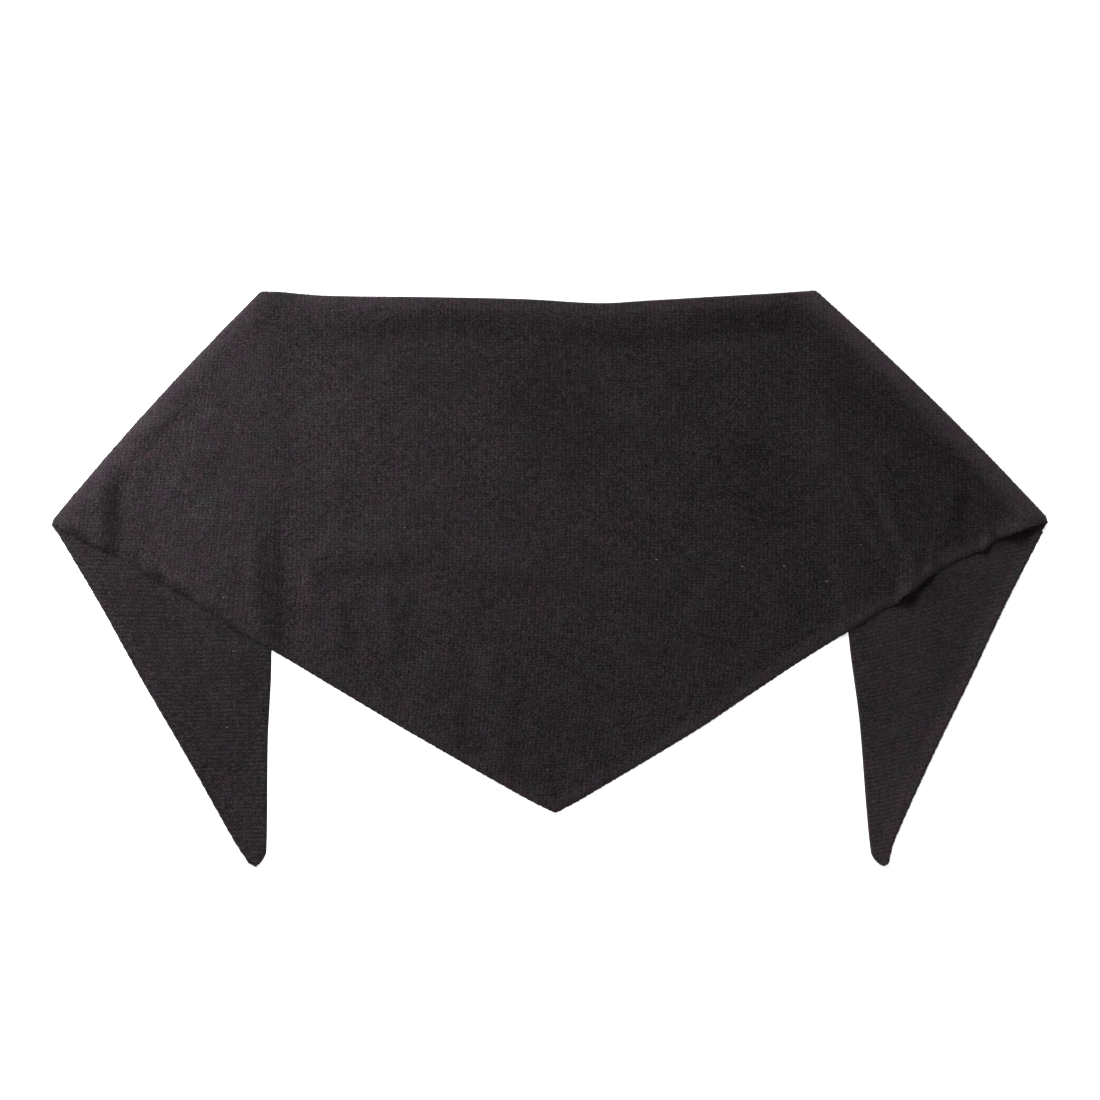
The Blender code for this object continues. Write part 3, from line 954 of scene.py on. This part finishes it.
        # Painted highlights: sheen on the folds and the long edge, and along the lower edge; then painted
        # shade and highlights along the creases.
        stands = [
            most * fade(fold.depth(x, y) - ROLL_RADIUS, self.fold_sheen_run)
            for fold, most in zip(self.folds, self.fold_sheen_and_nap)
        ]
        stands.append(self.long_edge_sheen_and_nap * fade(self.outline.long_edge.at(x) - y, self.fold_sheen_run))
        lower_most = np.interp(x, self.lower_highlight_places, self.lower_highlight_and_nap)
        stands.append(lower_most * fade(y - self.outline.lower_edge.at(x), self.lower_highlight_run))
        return np.max(stands, axis=0) + self.lines(x, y, PAINTED_LIGHT_AND_NAP_LINES)

    def beyond(self, x: Array, y: Array, flat_gap: Array, crossing: str, sign: int) -> Array:
        """Distance inside an edge that crosses the flat part and goes round both rolls.

        Args:
            x: places on the flat cloth.
            y: places on the flat cloth.
            flat_gap: the distance inside the edge on the flat part.
            crossing: the fold's share at which the edge crosses its crest: seam or end.
            sign: 1 if the cloth is below the edge, -1 if above it.

        Returns:
            A distance for each place.
        """
        gap = flat_gap
        for fold in self.folds:
            on_roll = sign * self.roll_slant * fold.room(x, y, getattr(fold, crossing))
            gap = np.where(fold.depth(x, y) < ROLL_RADIUS, on_roll, gap)
        return gap

    def lower_gap(self, x: Array, y: Array) -> Array:
        """Distance above the lower edge, which is nubby."""
        return SLANT_GAP * (y - self.outline.lower_edge.at(x)) - nubs(SLANT_LENGTH * x, self.nub_pitch)

    def corner_gap(self, x: Array, y: Array) -> Array:
        """Distance up the nearer fold from its corner."""
        left, right = (-fold.room(x, y, fold.start) for fold in self.folds)
        return np.where(x < 0, left, right)

    def below_seam(self, x: Array, y: Array) -> Array:
        """Distance below the border's seam, which the body laps over."""
        return self.beyond(x, y, self.outline.seam(x) - y, "seam", 1) + SEAM_LAP

    def above_seam(self, x: Array, y: Array) -> Array:
        """Distance above the border's seam."""
        return self.beyond(x, y, y - self.outline.seam(x), "seam", -1)

    def below_long_edge(self, x: Array, y: Array) -> Array:
        """Distance below the long edge."""
        return self.beyond(x, y, self.outline.long_edge.at(x) - y, "end", 1)

    def roll_end(self, x: Array, y: Array) -> Array:
        """Distance before the end of a roll's return."""
        return math.pi * ROLL_RADIUS + ROLL_RETURN - self.past_crest(x, y)

    def sheets(self) -> list[Sheet]:
        """The sheets of the front: the body in three stretches, and the border.

        Returns:
            The sheets, left to right, then the border.
        """
        free = [Edge(Brim.FREE, gap) for gap in (self.lower_gap, self.corner_gap)]
        body_edges = [*free, Edge(Brim.JOINED, self.below_seam), Edge(Brim.JOINED, self.roll_end)]
        border_edges = [
            Edge(Brim.FREE, self.below_long_edge),
            Edge(Brim.JOINED, self.above_seam),
            Edge(Brim.JOINED, self.roll_end),
        ]
        stops = [grid_line(x, WALE, ACROSS) for x in (-self.reach, *self.splits, self.reach)]
        rows = tuple(grid_line(y, COURSE, ALONG) for y in self.heights)
        stretches = (
            ("front_left", ("left_end", "left_end_border")),
            ("front_middle", ()),
            ("front_right", ("right_end", "right_end_border")),
        )
        body = [
            Sheet(
                name, "front_panel", Stitch.FACE, self, (low, high), rows, body_edges, SEED + number, under,
                self.edge_rounding,
            )
            for number, ((name, under), low, high) in enumerate(zip(stretches, stops, stops[1:]))
        ]
        border = Sheet(
            "long_edge_border", "top_border", Stitch.RIB, self, (stops[0], stops[-1]),
            (grid_line(self.border_from, COURSE, ALONG), rows[1]), border_edges, SEED + len(body),
            ("left_end_border", "right_end_border"),
        )
        return [*body, border]


@dataclass
class End:
    """One folded end: a flat tapering panel with its reverse side up, and its stretch of the border."""

    fold: Fold
    heading: float
    skew: float
    # Painted light on the end, which also thickens or thins its stray fibres: a painted sheen highlight
    # along the outer edge, a painted highlight towards the tip, and the whole end lightened or darkened.
    outer_sheen_and_nap: float
    tip_highlight_and_nap: float
    all_painted_light_and_nap: float
    centre: float = 0.27
    reach: tuple[float, float] = (0.245, 0.18)
    waves_x: Table = ((0.0005, 0.0, 60.0),)
    waves_y: Table = ((0.0007, 45.0, 0.0),)
    curl: float = 0.0016
    curl_width: float = 0.013
    curl_start: float = 0.030
    curl_run: float = 0.040
    outer_sheen_run: float = 0.014
    tip_highlight_start: float = -0.08
    tip_highlight_run: float = 0.16
    nub_pitch: float = 0.009

    def lay(self, across: Array, along: Array) -> tuple[Array, Array]:
        """Lays the stitches: the wales run across the end and its courses run down it.

        Args:
            across: lengths across the wales.
            along: lengths along the wales.

        Returns:
            Places x and y on the flat cloth.
        """
        turn, lean = math.radians(self.heading), math.radians(self.skew)
        x = along * math.cos(turn) + across * math.sin(lean)
        y = along * math.sin(turn) - across * math.cos(lean)
        centre = self.fold.side.value * self.centre
        return waves(centre + x, x, y, self.waves_x), waves(y, x, y, self.waves_y)

    def set_down(self, x: Array, y: Array, above: Array, wall: float) -> Array:
        """Puts points on the surface, whatever the wall, with the outer edge curling up a little."""
        share = fade(self.outer_gap(x, y), self.curl_width) * (1 - fade(self.curl_start - y, self.curl_run))
        return np.stack([x, y, self.curl * share + above], axis=1)

    def nap_and_painted_light(self, x: Array, y: Array) -> Array:
        """How much the nap stands up and how much light and shade is painted: the whole end lightened or
        darkened, and painted highlights along the outer edge and towards the tip.

        Args:
            x: places on the flat cloth.
            y: places on the flat cloth.

        Returns:
            A weight for each place: it lightens the colour, and below 0 it darkens it as painted shade.
        """
        at_outer = self.outer_sheen_and_nap * fade(self.outer_gap(x, y), self.outer_sheen_run)
        at_tip = self.tip_highlight_and_nap * (1 - fade(self.tip_highlight_start - y, self.tip_highlight_run))
        return self.all_painted_light_and_nap + np.maximum(at_outer, at_tip)

    def calm(self, x: Array, y: Array) -> Array:
        """Share of the stitches' relief: all of it."""
        return np.ones_like(x)

    def outer_gap(self, x: Array, y: Array) -> Array:
        """Distance inside the outer edge, which is scalloped."""
        out = self.fold.side.value * (self.fold.outer.at(y) - x)
        return SLANT_GAP * out - nubs(SLANT_LENGTH * y, self.nub_pitch)

    def inner_gap(self, x: Array, y: Array) -> Array:
        """Distance inside the inner edge."""
        return -self.fold.past_inner(x, y)

    def cut_gap(self, x: Array, y: Array) -> Array:
        """Distance past the end of the roll's return."""
        return self.fold.depth(x, y) - ROLL_RADIUS - ROLL_RETURN + SEAM_LAP

    def panel_gap(self, x: Array, y: Array) -> Array:
        """Distance outward from the border's seam."""
        return self.inner_gap(x, y) - BORDER_WIDTH + SEAM_LAP

    def border_gap(self, x: Array, y: Array) -> Array:
        """Distance inward from the border's seam."""
        return BORDER_WIDTH - self.inner_gap(x, y)

    def sheets(self) -> list[Sheet]:
        """The panel and its border.

        Returns:
            The two sheets.
        """
        free = [Edge(Brim.FREE, gap) for gap in (self.outer_gap, self.inner_gap)]
        edges = [*free, Edge(Brim.JOINED, self.cut_gap)]
        wide, high = (
            (grid_line(-reach, pitch, lines), grid_line(reach, pitch, lines))
            for reach, pitch, lines in zip(self.reach, (WALE, COURSE), (ACROSS, ALONG))
        )
        side = self.fold.side.name.lower()
        seed = SEED + 10 * (2 + self.fold.side.value)
        kinds = (("", Stitch.REVERSE, self.panel_gap), ("_border", Stitch.RIB, self.border_gap))
        return [
            Sheet(
                f"{side}_end{ending}", f"{side}_tail{ending}", stitch, self, wide, high,
                [*edges, Edge(Brim.JOINED, gap)], seed + number,
            )
            for number, (ending, stitch, gap) in enumerate(kinds)
        ]


class Value:
    """A shader value that takes part in Python expressions."""

    def __init__(self, tree: bpy.types.NodeTree, socket: bpy.types.NodeSocket) -> None:
        """Wraps an output socket."""
        self.tree = tree
        self.socket = socket

    def math(self, operation: str, *operands: "Value | float") -> "Value":
        """Adds a Math node.

        Args:
            operation: the node's operation.
            operands: its inputs, values or numbers.

        Returns:
            The node's result.
        """
        node = self.tree.nodes.new("ShaderNodeMath")
        node.operation = operation
        for target, operand in zip(node.inputs, operands):
            if isinstance(operand, Value):
                self.tree.links.new(operand.socket, target)
            else:
                target.default_value = operand
        return Value(self.tree, node.outputs[0])

    def __add__(self, other: "Value | float") -> "Value":
        """Sum."""
        return self.math("ADD", self, other)

    def __radd__(self, other: float) -> "Value":
        """Sum, number first."""
        return self.math("ADD", other, self)

    def __sub__(self, other: "Value | float") -> "Value":
        """Difference."""
        return self.math("SUBTRACT", self, other)

    def __rsub__(self, other: float) -> "Value":
        """Difference, number first."""
        return self.math("SUBTRACT", other, self)

    def __mul__(self, other: "Value | float") -> "Value":
        """Product."""
        return self.math("MULTIPLY", self, other)

    def __rmul__(self, other: float) -> "Value":
        """Product, number first."""
        return self.math("MULTIPLY", other, self)

    def __pow__(self, power: float) -> "Value":
        """Power."""
        return self.math("POWER", self, power)

    def least(self, other: "Value | float") -> "Value":
        """The smaller of two values."""
        return self.math("MINIMUM", self, other)

    def most(self, other: "Value | float") -> "Value":
        """The larger of two values."""
        return self.math("MAXIMUM", self, other)

    def groove(self) -> "Value":
        """1 where the value is whole and 0 half-way between."""
        return self.math("ABSOLUTE", self.math("FRACT", self) * 2.0 - 1.0)

    def spread(self, contrast: float, middle: float) -> "Value":
        """A noise with more contrast, with its mean moved to the middle and no part above 1."""
        return ((self - 0.5) * contrast + middle).least(1.0)


class Paint:
    """A material in the making, with one way to add any node."""

    MIX_COLOURS = (6, 7)
    MIX_RESULT = 2

    def __init__(self, name: str) -> None:
        """Starts an empty material with its Principled shader.

        Args:
            name: the material's name.
        """
        self.material = bpy.data.materials.new(name)
        self.material.use_nodes = True
        self.tree = self.material.node_tree
        self.shader = self.tree.nodes["Principled BSDF"]

    def connect(self, target: bpy.types.Node, inputs: Inputs) -> None:
        """Sets or links a node's inputs.

        Args:
            target: the node.
            inputs: for each input socket, a Value, an output socket or a plain value.
        """
        for key, value in inputs.items():
            if isinstance(value, Value):
                value = value.socket
            if isinstance(value, bpy.types.NodeSocket):
                self.tree.links.new(value, target.inputs[key])
            else:
                target.inputs[key].default_value = value

    def node(self, kind: str, settings: dict[str, object], inputs: Inputs) -> bpy.types.Node:
        """Adds a node.

        Args:
            kind: the node's type.
            settings: its own settings, set first.
            inputs: what its input sockets get, as for connect.

        Returns:
            The node.
        """
        made = self.tree.nodes.new(kind)
        for key, value in settings.items():
            setattr(made, key, value)
        self.connect(made, inputs)
        return made

    def value(self, socket: bpy.types.NodeSocket) -> Value:
        """Wraps an output socket."""
        return Value(self.tree, socket)

    def noise(self, place: bpy.types.NodeSocket, per_metre: float, octaves: float, rough: float) -> Value:
        """Adds a noise from 0 to 1, by repeats per metre, octaves and the strength of the finer ones."""
        inputs = {"Vector": place, "Scale": per_metre, "Detail": octaves, "Roughness": rough}
        return self.value(self.node("ShaderNodeTexNoise", {}, inputs).outputs["Fac"])

    def blend(self, share: Value, low: Tint, high: Tint) -> bpy.types.NodeSocket:
        """Mixes two colours.

        Args:
            share: how much of the second colour shows.
            low: the first colour.
            high: the second colour.

        Returns:
            The mixed colour's socket.
        """
        inputs = {0: share.most(0.0)}
        for key, tint in zip(self.MIX_COLOURS, (low, high)):
            inputs[key] = tint if isinstance(tint, bpy.types.NodeSocket) else (*tint, 1.0)
        made = self.node("ShaderNodeMix", {"data_type": "RGBA", "clamp_factor": False}, inputs)
        return made.outputs[self.MIX_RESULT]


@dataclass(frozen=True)
class KnitFinish:
    """Brushed black wool knit: painted shade in the grooves between the stitches, so lighter crowns, uneven
    nap, and painted light and shade from the nap weight.

    The grains are rows of repeats per metre, octaves and roughness: broad patches, tufts of the nap, flecks
    of single fibres, and the patches of cool and of violet in the thread.
    """

    stitch: Stitch
    # How much the grooves between the stitches darken the colour, as painted shade.
    groove: float = 0.60
    strength: float = 1.0
    deep: Place = (0.0020, 0.0016, 0.0018)
    warm: Place = (0.0250, 0.0164, 0.0187)
    cool: Place = (0.0188, 0.0187, 0.0180)
    violet: Place = (0.0226, 0.0161, 0.0214)
    grains: Table = (
        (24.0, 4.0, 0.6),
        (340.0, 1.0, 0.5),
        (1000.0, 1.5, 0.7),
        (85.0, 4.0, 0.8),
        (65.0, 4.0, 0.8),
    )
    level: float = 0.64
    mottle: float = 0.46
    tuft: float = 0.16
    fleck: float = 4.6
    loop: float = 0.34
    # How much the nap weight lightens or darkens the colour, as painted light and shade.
    painted_light_share: float = 0.30
    cool_spread: tuple[float, float] = (5.0, 0.5)
    violet_spread: tuple[float, float] = (6.0, 0.2)
    bump: tuple[float, float] = (0.6, 0.0006)
    sheen: float = 0.04
    sheen_tint: tuple[float, float, float, float] = (0.80, 0.72, 0.76, 1.0)

    def lines(self, wale: Value, course: Value) -> Value:
        """How deep the lines between the stitches are; the colour is darkened there by it, as painted
        shade.

        Args:
            wale: the place across, in stitches.
            course: the place along, in stitches.

        Returns:
            1 in the deepest lines and 0 on the crowns.
        """
        between_wales, between_courses = wale.groove(), course.groove()
        if self.stitch is Stitch.FACE:
            return between_wales**3.0 * 0.1 + between_wales * between_courses**1.5 * 1.1
        if self.stitch is Stitch.REVERSE:
            return between_wales**2.0 * 0.25 + between_wales * between_courses * 0.85
        return (between_wales**2.0).most(between_courses**6.0 * 0.3)

    def make(self) -> bpy.types.Material:
        """Makes the material.

        Returns:
            The finished material.
        """
        paint = Paint(self.stitch.value)
        place = paint.node("ShaderNodeTexCoord", {}, {}).outputs["Object"]
        chart = paint.node("ShaderNodeUVMap", {"uv_map": STITCH_MAP}, {}).outputs["UV"]
        split = paint.node("ShaderNodeSeparateXYZ", {}, {"Vector": chart}).outputs
        nap_and_painted_light = paint.value(paint.node("ShaderNodeAttribute", {"attribute_name": NAP_AND_PAINTED_LIGHT}, {}).outputs["Fac"])
        patches, tufts, flecks, cools, violets = (paint.noise(place, *grain) for grain in self.grains)
        cell = paint.node("ShaderNodeVectorMath", {"operation": "FLOOR"}, {0: chart}).outputs["Vector"]
        dice = paint.node("ShaderNodeTexWhiteNoise", {"noise_dimensions": "2D"}, {"Vector": cell})
        loops = paint.value(dice.outputs["Value"])
        uneven = ((patches, self.mottle), (tufts, self.tuft), (flecks, self.fleck), (loops, self.loop))
        shade = sum(((grain - 0.5) * weight for grain, weight in uneven), self.level)
        lines = self.lines(paint.value(split["X"]), paint.value(split["Y"]))
        # Painted shade in the grooves and painted light and shade from the nap weight go into the colour.
        shade = (shade - lines * self.groove + nap_and_painted_light * self.painted_light_share) * self.strength
        thread = paint.blend(cools.spread(*self.cool_spread), self.warm, self.cool)
        thread = paint.blend(violets.spread(*self.violet_spread), thread, self.violet)
        strength, distance = self.bump
        height = {"Strength": strength, "Distance": distance, "Height": flecks * 0.6 + tufts * 0.4}
        look = {
            "Base Color": paint.blend(shade, self.deep, thread),
            "Roughness": 0.80 + tufts * 0.2,
            "Normal": paint.node("ShaderNodeBump", {}, height).outputs["Normal"],
            "Specular IOR Level": 0.10,
            "Sheen Weight": self.sheen,
            "Sheen Roughness": 0.5,
            "Sheen Tint": self.sheen_tint,
        }
        paint.connect(paint.shader, look)
        return paint.material


@dataclass(frozen=True)
class FibreFinish:
    """Single fibres that catch the light, each a little lighter or darker."""

    name: str
    light: Place = (0.050, 0.042, 0.046)
    dark: Place = (0.012, 0.010, 0.011)
    grain: Place = (420.0, 2.0, 0.5)
    spread: tuple[float, float] = (3.0, 0.5)

    def make(self) -> bpy.types.Material:
        """Makes the material.

        Returns:
            The finished material.
        """
        paint = Paint(self.name)
        place = paint.node("ShaderNodeTexCoord", {}, {}).outputs["Object"]
        change = paint.noise(place, *self.grain)
        look = {
            "Base Color": paint.blend(change.spread(*self.spread), self.dark, self.light),
            "Roughness": 0.55 + change * 0.3,
            "Specular IOR Level": 0.3,
        }
        paint.connect(paint.shader, look)
        return paint.material


@dataclass(frozen=True)
class Fibres:
    """Stray fibres of the yarn: tapering three-sided strands, each bent at its middle."""

    name: str
    count: int
    lengths: tuple[float, float]
    steepness: tuple[float, float]
    seed: int
    radius: float = 0.000045
    middle: float = 0.5
    middle_width: float = 1.6
    bend: float = 0.22

    def strands(self) -> bpy.types.Mesh:
        """Repeats one strand of unit length and radius, upright at the origin.

        Returns:
            A mesh that holds the strands one after another.
        """
        bm = bmesh.new()
        bmesh.ops.create_cone(bm, cap_ends=True, segments=3, radius1=1.0, radius2=0.0, depth=1.0)
        bmesh.ops.remove_doubles(bm, verts=bm.verts, dist=0.001)
        bmesh.ops.translate(bm, verts=bm.verts, vec=(0.0, 0.0, 0.5))
        whole = [*bm.verts, *bm.edges, *bm.faces]
        bmesh.ops.bisect_plane(bm, geom=whole, plane_co=(0.0, 0.0, self.middle), plane_no=(0.0, 0.0, 1.0))
        ring = [vert for vert in bm.verts if abs(vert.co.z - self.middle) < 0.1]
        bmesh.ops.scale(bm, verts=ring, vec=(self.middle_width, self.middle_width, 1.0))
        bmesh.ops.recalc_face_normals(bm, faces=bm.faces)
        holder = put_in_scene("strand", finished(bm, "strand"))
        repeat = holder.modifiers.new("repeat", "ARRAY")
        repeat.count = self.count
        repeat.use_relative_offset = False
        repeat.use_constant_offset = True
        repeat.constant_offset_displace = (0.0, 0.0, 0.0)
        whole_row = holder.evaluated_get(bpy.context.evaluated_depsgraph_get())
        mesh = bpy.data.meshes.new_from_object(whole_row)
        bpy.data.objects.remove(holder)
        return mesh

    def grow(self, roots: Array, normals: Array, finish: bpy.types.Material) -> None:
        """Stands the strands on the cloth.

        Args:
            roots: the points that they grow from.
            normals: the directions off the cloth there.
            finish: their material.
        """
        dice = np.random.default_rng(self.seed)
        mesh = self.strands()
        shape = read(mesh.vertices, "co", 3).reshape(self.count, -1, 3)
        lie = np.cross(normals, dice.normal(0.0, 1.0, normals.shape))
        lie /= np.linalg.norm(lie, axis=1, keepdims=True)
        steep = np.radians(dice.uniform(*self.steepness, (self.count, 1)))
        ahead = lie * np.cos(steep) + normals * np.sin(steep)
        ahead[:, 2] = np.abs(ahead[:, 2])
        aside = np.cross(ahead, (0.0, 0.0, 1.0)) + TINY
        aside /= np.linalg.norm(aside, axis=1, keepdims=True)
        over = np.cross(ahead, aside)
        length = dice.uniform(*self.lengths, (self.count, 1))
        sweep = aside * dice.normal(0.0, self.bend, (self.count, 1))
        x, y, up = shape[..., :1], shape[..., 1:2], shape[..., 2:]
        spine = roots[:, None] + (ahead[:, None] + sweep[:, None] * up) * length[:, None] * up
        write(mesh.vertices, "co", spine + self.radius * (x * aside[:, None] + y * over[:, None]))
        mesh.shade_smooth()
        mesh.update()
        mesh.materials.append(finish)
        piece = put_in_scene(self.name, mesh)
        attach(piece, BODY)
        log.info("%s: %d strands, %d faces", self.name, self.count, len(mesh.polygons))


@dataclass
class Studio:
    """The pale surface, the soft light and the camera straight above."""

    view_width: float = 0.88
    view_centre: tuple[float, float] = (0.0004, 0.0226)
    height: float = 2.4
    sensor: float = 36.0
    floor_size: float = 4.0
    floor_glow: float = 0.62
    key_place: Place = (-0.50, 0.22, 0.36)
    key_target: Place = (-0.10, 0.05, 0.0)
    key_size: float = 0.30
    key_power: float = 5.0
    top_place: Place = (-0.10, 1.00, 0.85)
    top_spread: float = 18.0
    top_power: float = 2.7
    room_light: float = 0.33

    def floor(self) -> None:
        """Makes the plain pale surface under the scarf."""
        bm = bmesh.new()
        bmesh.ops.create_grid(bm, x_segments=1, y_segments=1, size=self.floor_size)
        floor = put_in_scene("floor", finished(bm, "floor"))
        paint = Paint("pale_floor")
        look = {
            "Base Color": (0.92, 0.92, 0.92, 1.0),
            "Roughness": 0.9,
            "Specular IOR Level": 0.1,
            "Emission Color": (1.0, 1.0, 1.0, 1.0),
            "Emission Strength": self.floor_glow,
        }
        paint.connect(paint.shader, look)
        floor.data.materials.append(paint.material)

    def light(self, name: str, kind: str, place: Place, target: Place, settings: dict[str, object]) -> None:
        """Adds a light.

        Args:
            name: the light's name.
            kind: AREA for one that hangs near, or SUN for a far one that is even all over.
            place: where it is.
            target: the point that it faces.
            settings: its power, size and shape.
        """
        lamp = bpy.data.lights.new(name, kind)
        for key, value in settings.items():
            setattr(lamp, key, value)
        holder = put_in_scene(name, lamp)
        holder.location = place
        holder.rotation_euler = (Vector(target) - Vector(place)).to_track_quat("-Z", "Y").to_euler()

    def camera(self) -> None:
        """Sets up the camera above the scarf."""
        lens = bpy.data.cameras.new("camera")
        lens.sensor_width = self.sensor
        lens.lens = self.sensor * self.height / self.view_width
        holder = put_in_scene("camera", lens)
        holder.location = (*self.view_centre, self.height)
        bpy.context.scene.camera = holder

    def build(self) -> None:
        """Sets up the whole studio."""
        self.floor()
        key = {"shape": "SQUARE", "size": self.key_size, "energy": self.key_power}
        self.light("key", "AREA", self.key_place, self.key_target, key)
        top = {"angle": math.radians(self.top_spread), "energy": self.top_power}
        self.light("top", "SUN", self.top_place, (0.0, 0.0, 0.0), top)
        world = bpy.data.worlds.new("studio")
        world.use_nodes = True
        backdrop = world.node_tree.nodes["Background"].inputs
        backdrop["Color"].default_value = (1.0, 1.0, 1.0, 1.0)
        backdrop["Strength"].default_value = self.room_light
        bpy.context.scene.world = world
        bpy.context.scene.view_settings.view_transform = "Standard"
        self.camera()


@dataclass
class Scarf:
    """The whole scarf: its front, its two folded ends, their finishes and their stray fibres."""

    outline: Outline = field(default_factory=Outline)
    lint_radius: float = 0.00015
    lint_tints: tuple[Place, Place] = ((0.62, 0.60, 0.56), (0.45, 0.44, 0.42))

    def __post_init__(self) -> None:
        """Sets up the folds, the front and the ends."""
        left, right = (
            Fold(side, Vector(corner), Vector(shoulder), Curve(outer), Curve(inner), self.outline)
            for side, corner, shoulder, outer, inner in (
                (Side.LEFT, LOWER_EDGE[0], LEFT_SHOULDER, LEFT_OUTER, LEFT_INNER),
                (Side.RIGHT, LOWER_EDGE[-1], RIGHT_SHOULDER, RIGHT_OUTER, RIGHT_INNER),
            )
        )
        # The left end is darkened all over as painted shade and the right end lightened as painted light,
        # besides their painted edge and tip highlights.
        left_end = End(left, heading=0.0, skew=0.0, outer_sheen_and_nap=0.2, tip_highlight_and_nap=0.9, all_painted_light_and_nap=-0.6)
        right_end = End(right, heading=12.0, skew=7.0, outer_sheen_and_nap=1.1, tip_highlight_and_nap=1.3, all_painted_light_and_nap=0.7)
        self.stretches = (Front(self.outline, (left, right)), left_end, right_end)

    def build(self) -> list[Cloth]:
        """Builds and dresses every sheet.

        Returns:
            The finished sheets.
        """
        # Each finish's groove sets how much the grooves between stitches darken the colour, as painted
        # shade.
        finishes = {
            Stitch.FACE: KnitFinish(Stitch.FACE).make(),
            Stitch.REVERSE: KnitFinish(Stitch.REVERSE, groove=0.42, strength=1.08).make(),
            Stitch.RIB: KnitFinish(Stitch.RIB, groove=0.18).make(),
        }
        cloths = []
        for sheet in [sheet for stretch in self.stretches for sheet in stretch.sheets()]:
            cloth = sheet.build()
            cloth.piece.data.materials.append(finishes[sheet.stitch])
            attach(cloth.piece, BODY)
            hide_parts(sheet.node)
            cloths.append(cloth)
        return cloths

    def fuzz(self, cloths: list[Cloth]) -> None:
        """Grows the stray fibres: a halo at the edges, a nap on both halves, and a few pale specks of lint.

        Args:
            cloths: the finished sheets.
        """
        points, normals, frays, nap_and_painted_light, above = (
            np.concatenate([getattr(cloth, key) for cloth in cloths])
            for key in ("points", "normals", "frays", "nap_and_painted_light", "above")
        )
        top = (above > CROWN * KNIT_WALL) & (normals[:, 2] > FACES_UP)
        density = top * np.maximum(NAP_EVERYWHERE + nap_and_painted_light, NAP_LEAST)
        finish = FibreFinish("stray_fibre").make()
        left = points[:, 0] < 0
        for fibres, weights in (
            (Fibres("edge_fibres", 6000, (0.0008, 0.0026), (25.0, 80.0), SEED + 50), frays * 1.0),
            (Fibres("nap_left", 11000, (0.0010, 0.0028), (5.0, 30.0), SEED + 51), density * left),
            (Fibres("nap_right", 11000, (0.0010, 0.0028), (5.0, 30.0), SEED + 52), density * ~left),
        ):
            dice = np.random.default_rng(fibres.seed)
            picked = dice.choice(len(points), fibres.count, p=weights / weights.sum())
            fibres.grow(points[picked], normals[picked], finish)
        heights = points[:, 2] * top
        offsets = (points[:, :2] - spot for spot in LINT_SPOTS)
        spots = [np.argmax(heights * (np.hypot(*offset.T) < LINT_REACH)) for offset in offsets]
        specks = len(LINT_SPOTS)
        lint = Fibres("lint_specks", specks, (0.0010, 0.0018), (4.0, 16.0), SEED + 53, self.lint_radius)
        lint.grow(points[spots], normals[spots], FibreFinish("pale_lint", *self.lint_tints).make())


def main() -> None:
    """Builds the studio and the scarf."""
    logging.basicConfig(level=logging.INFO, format="%(message)s")
    Studio().build()
    scarf = Scarf()
    scarf.fuzz(scarf.build())


if __name__ == "__main__":
    main()
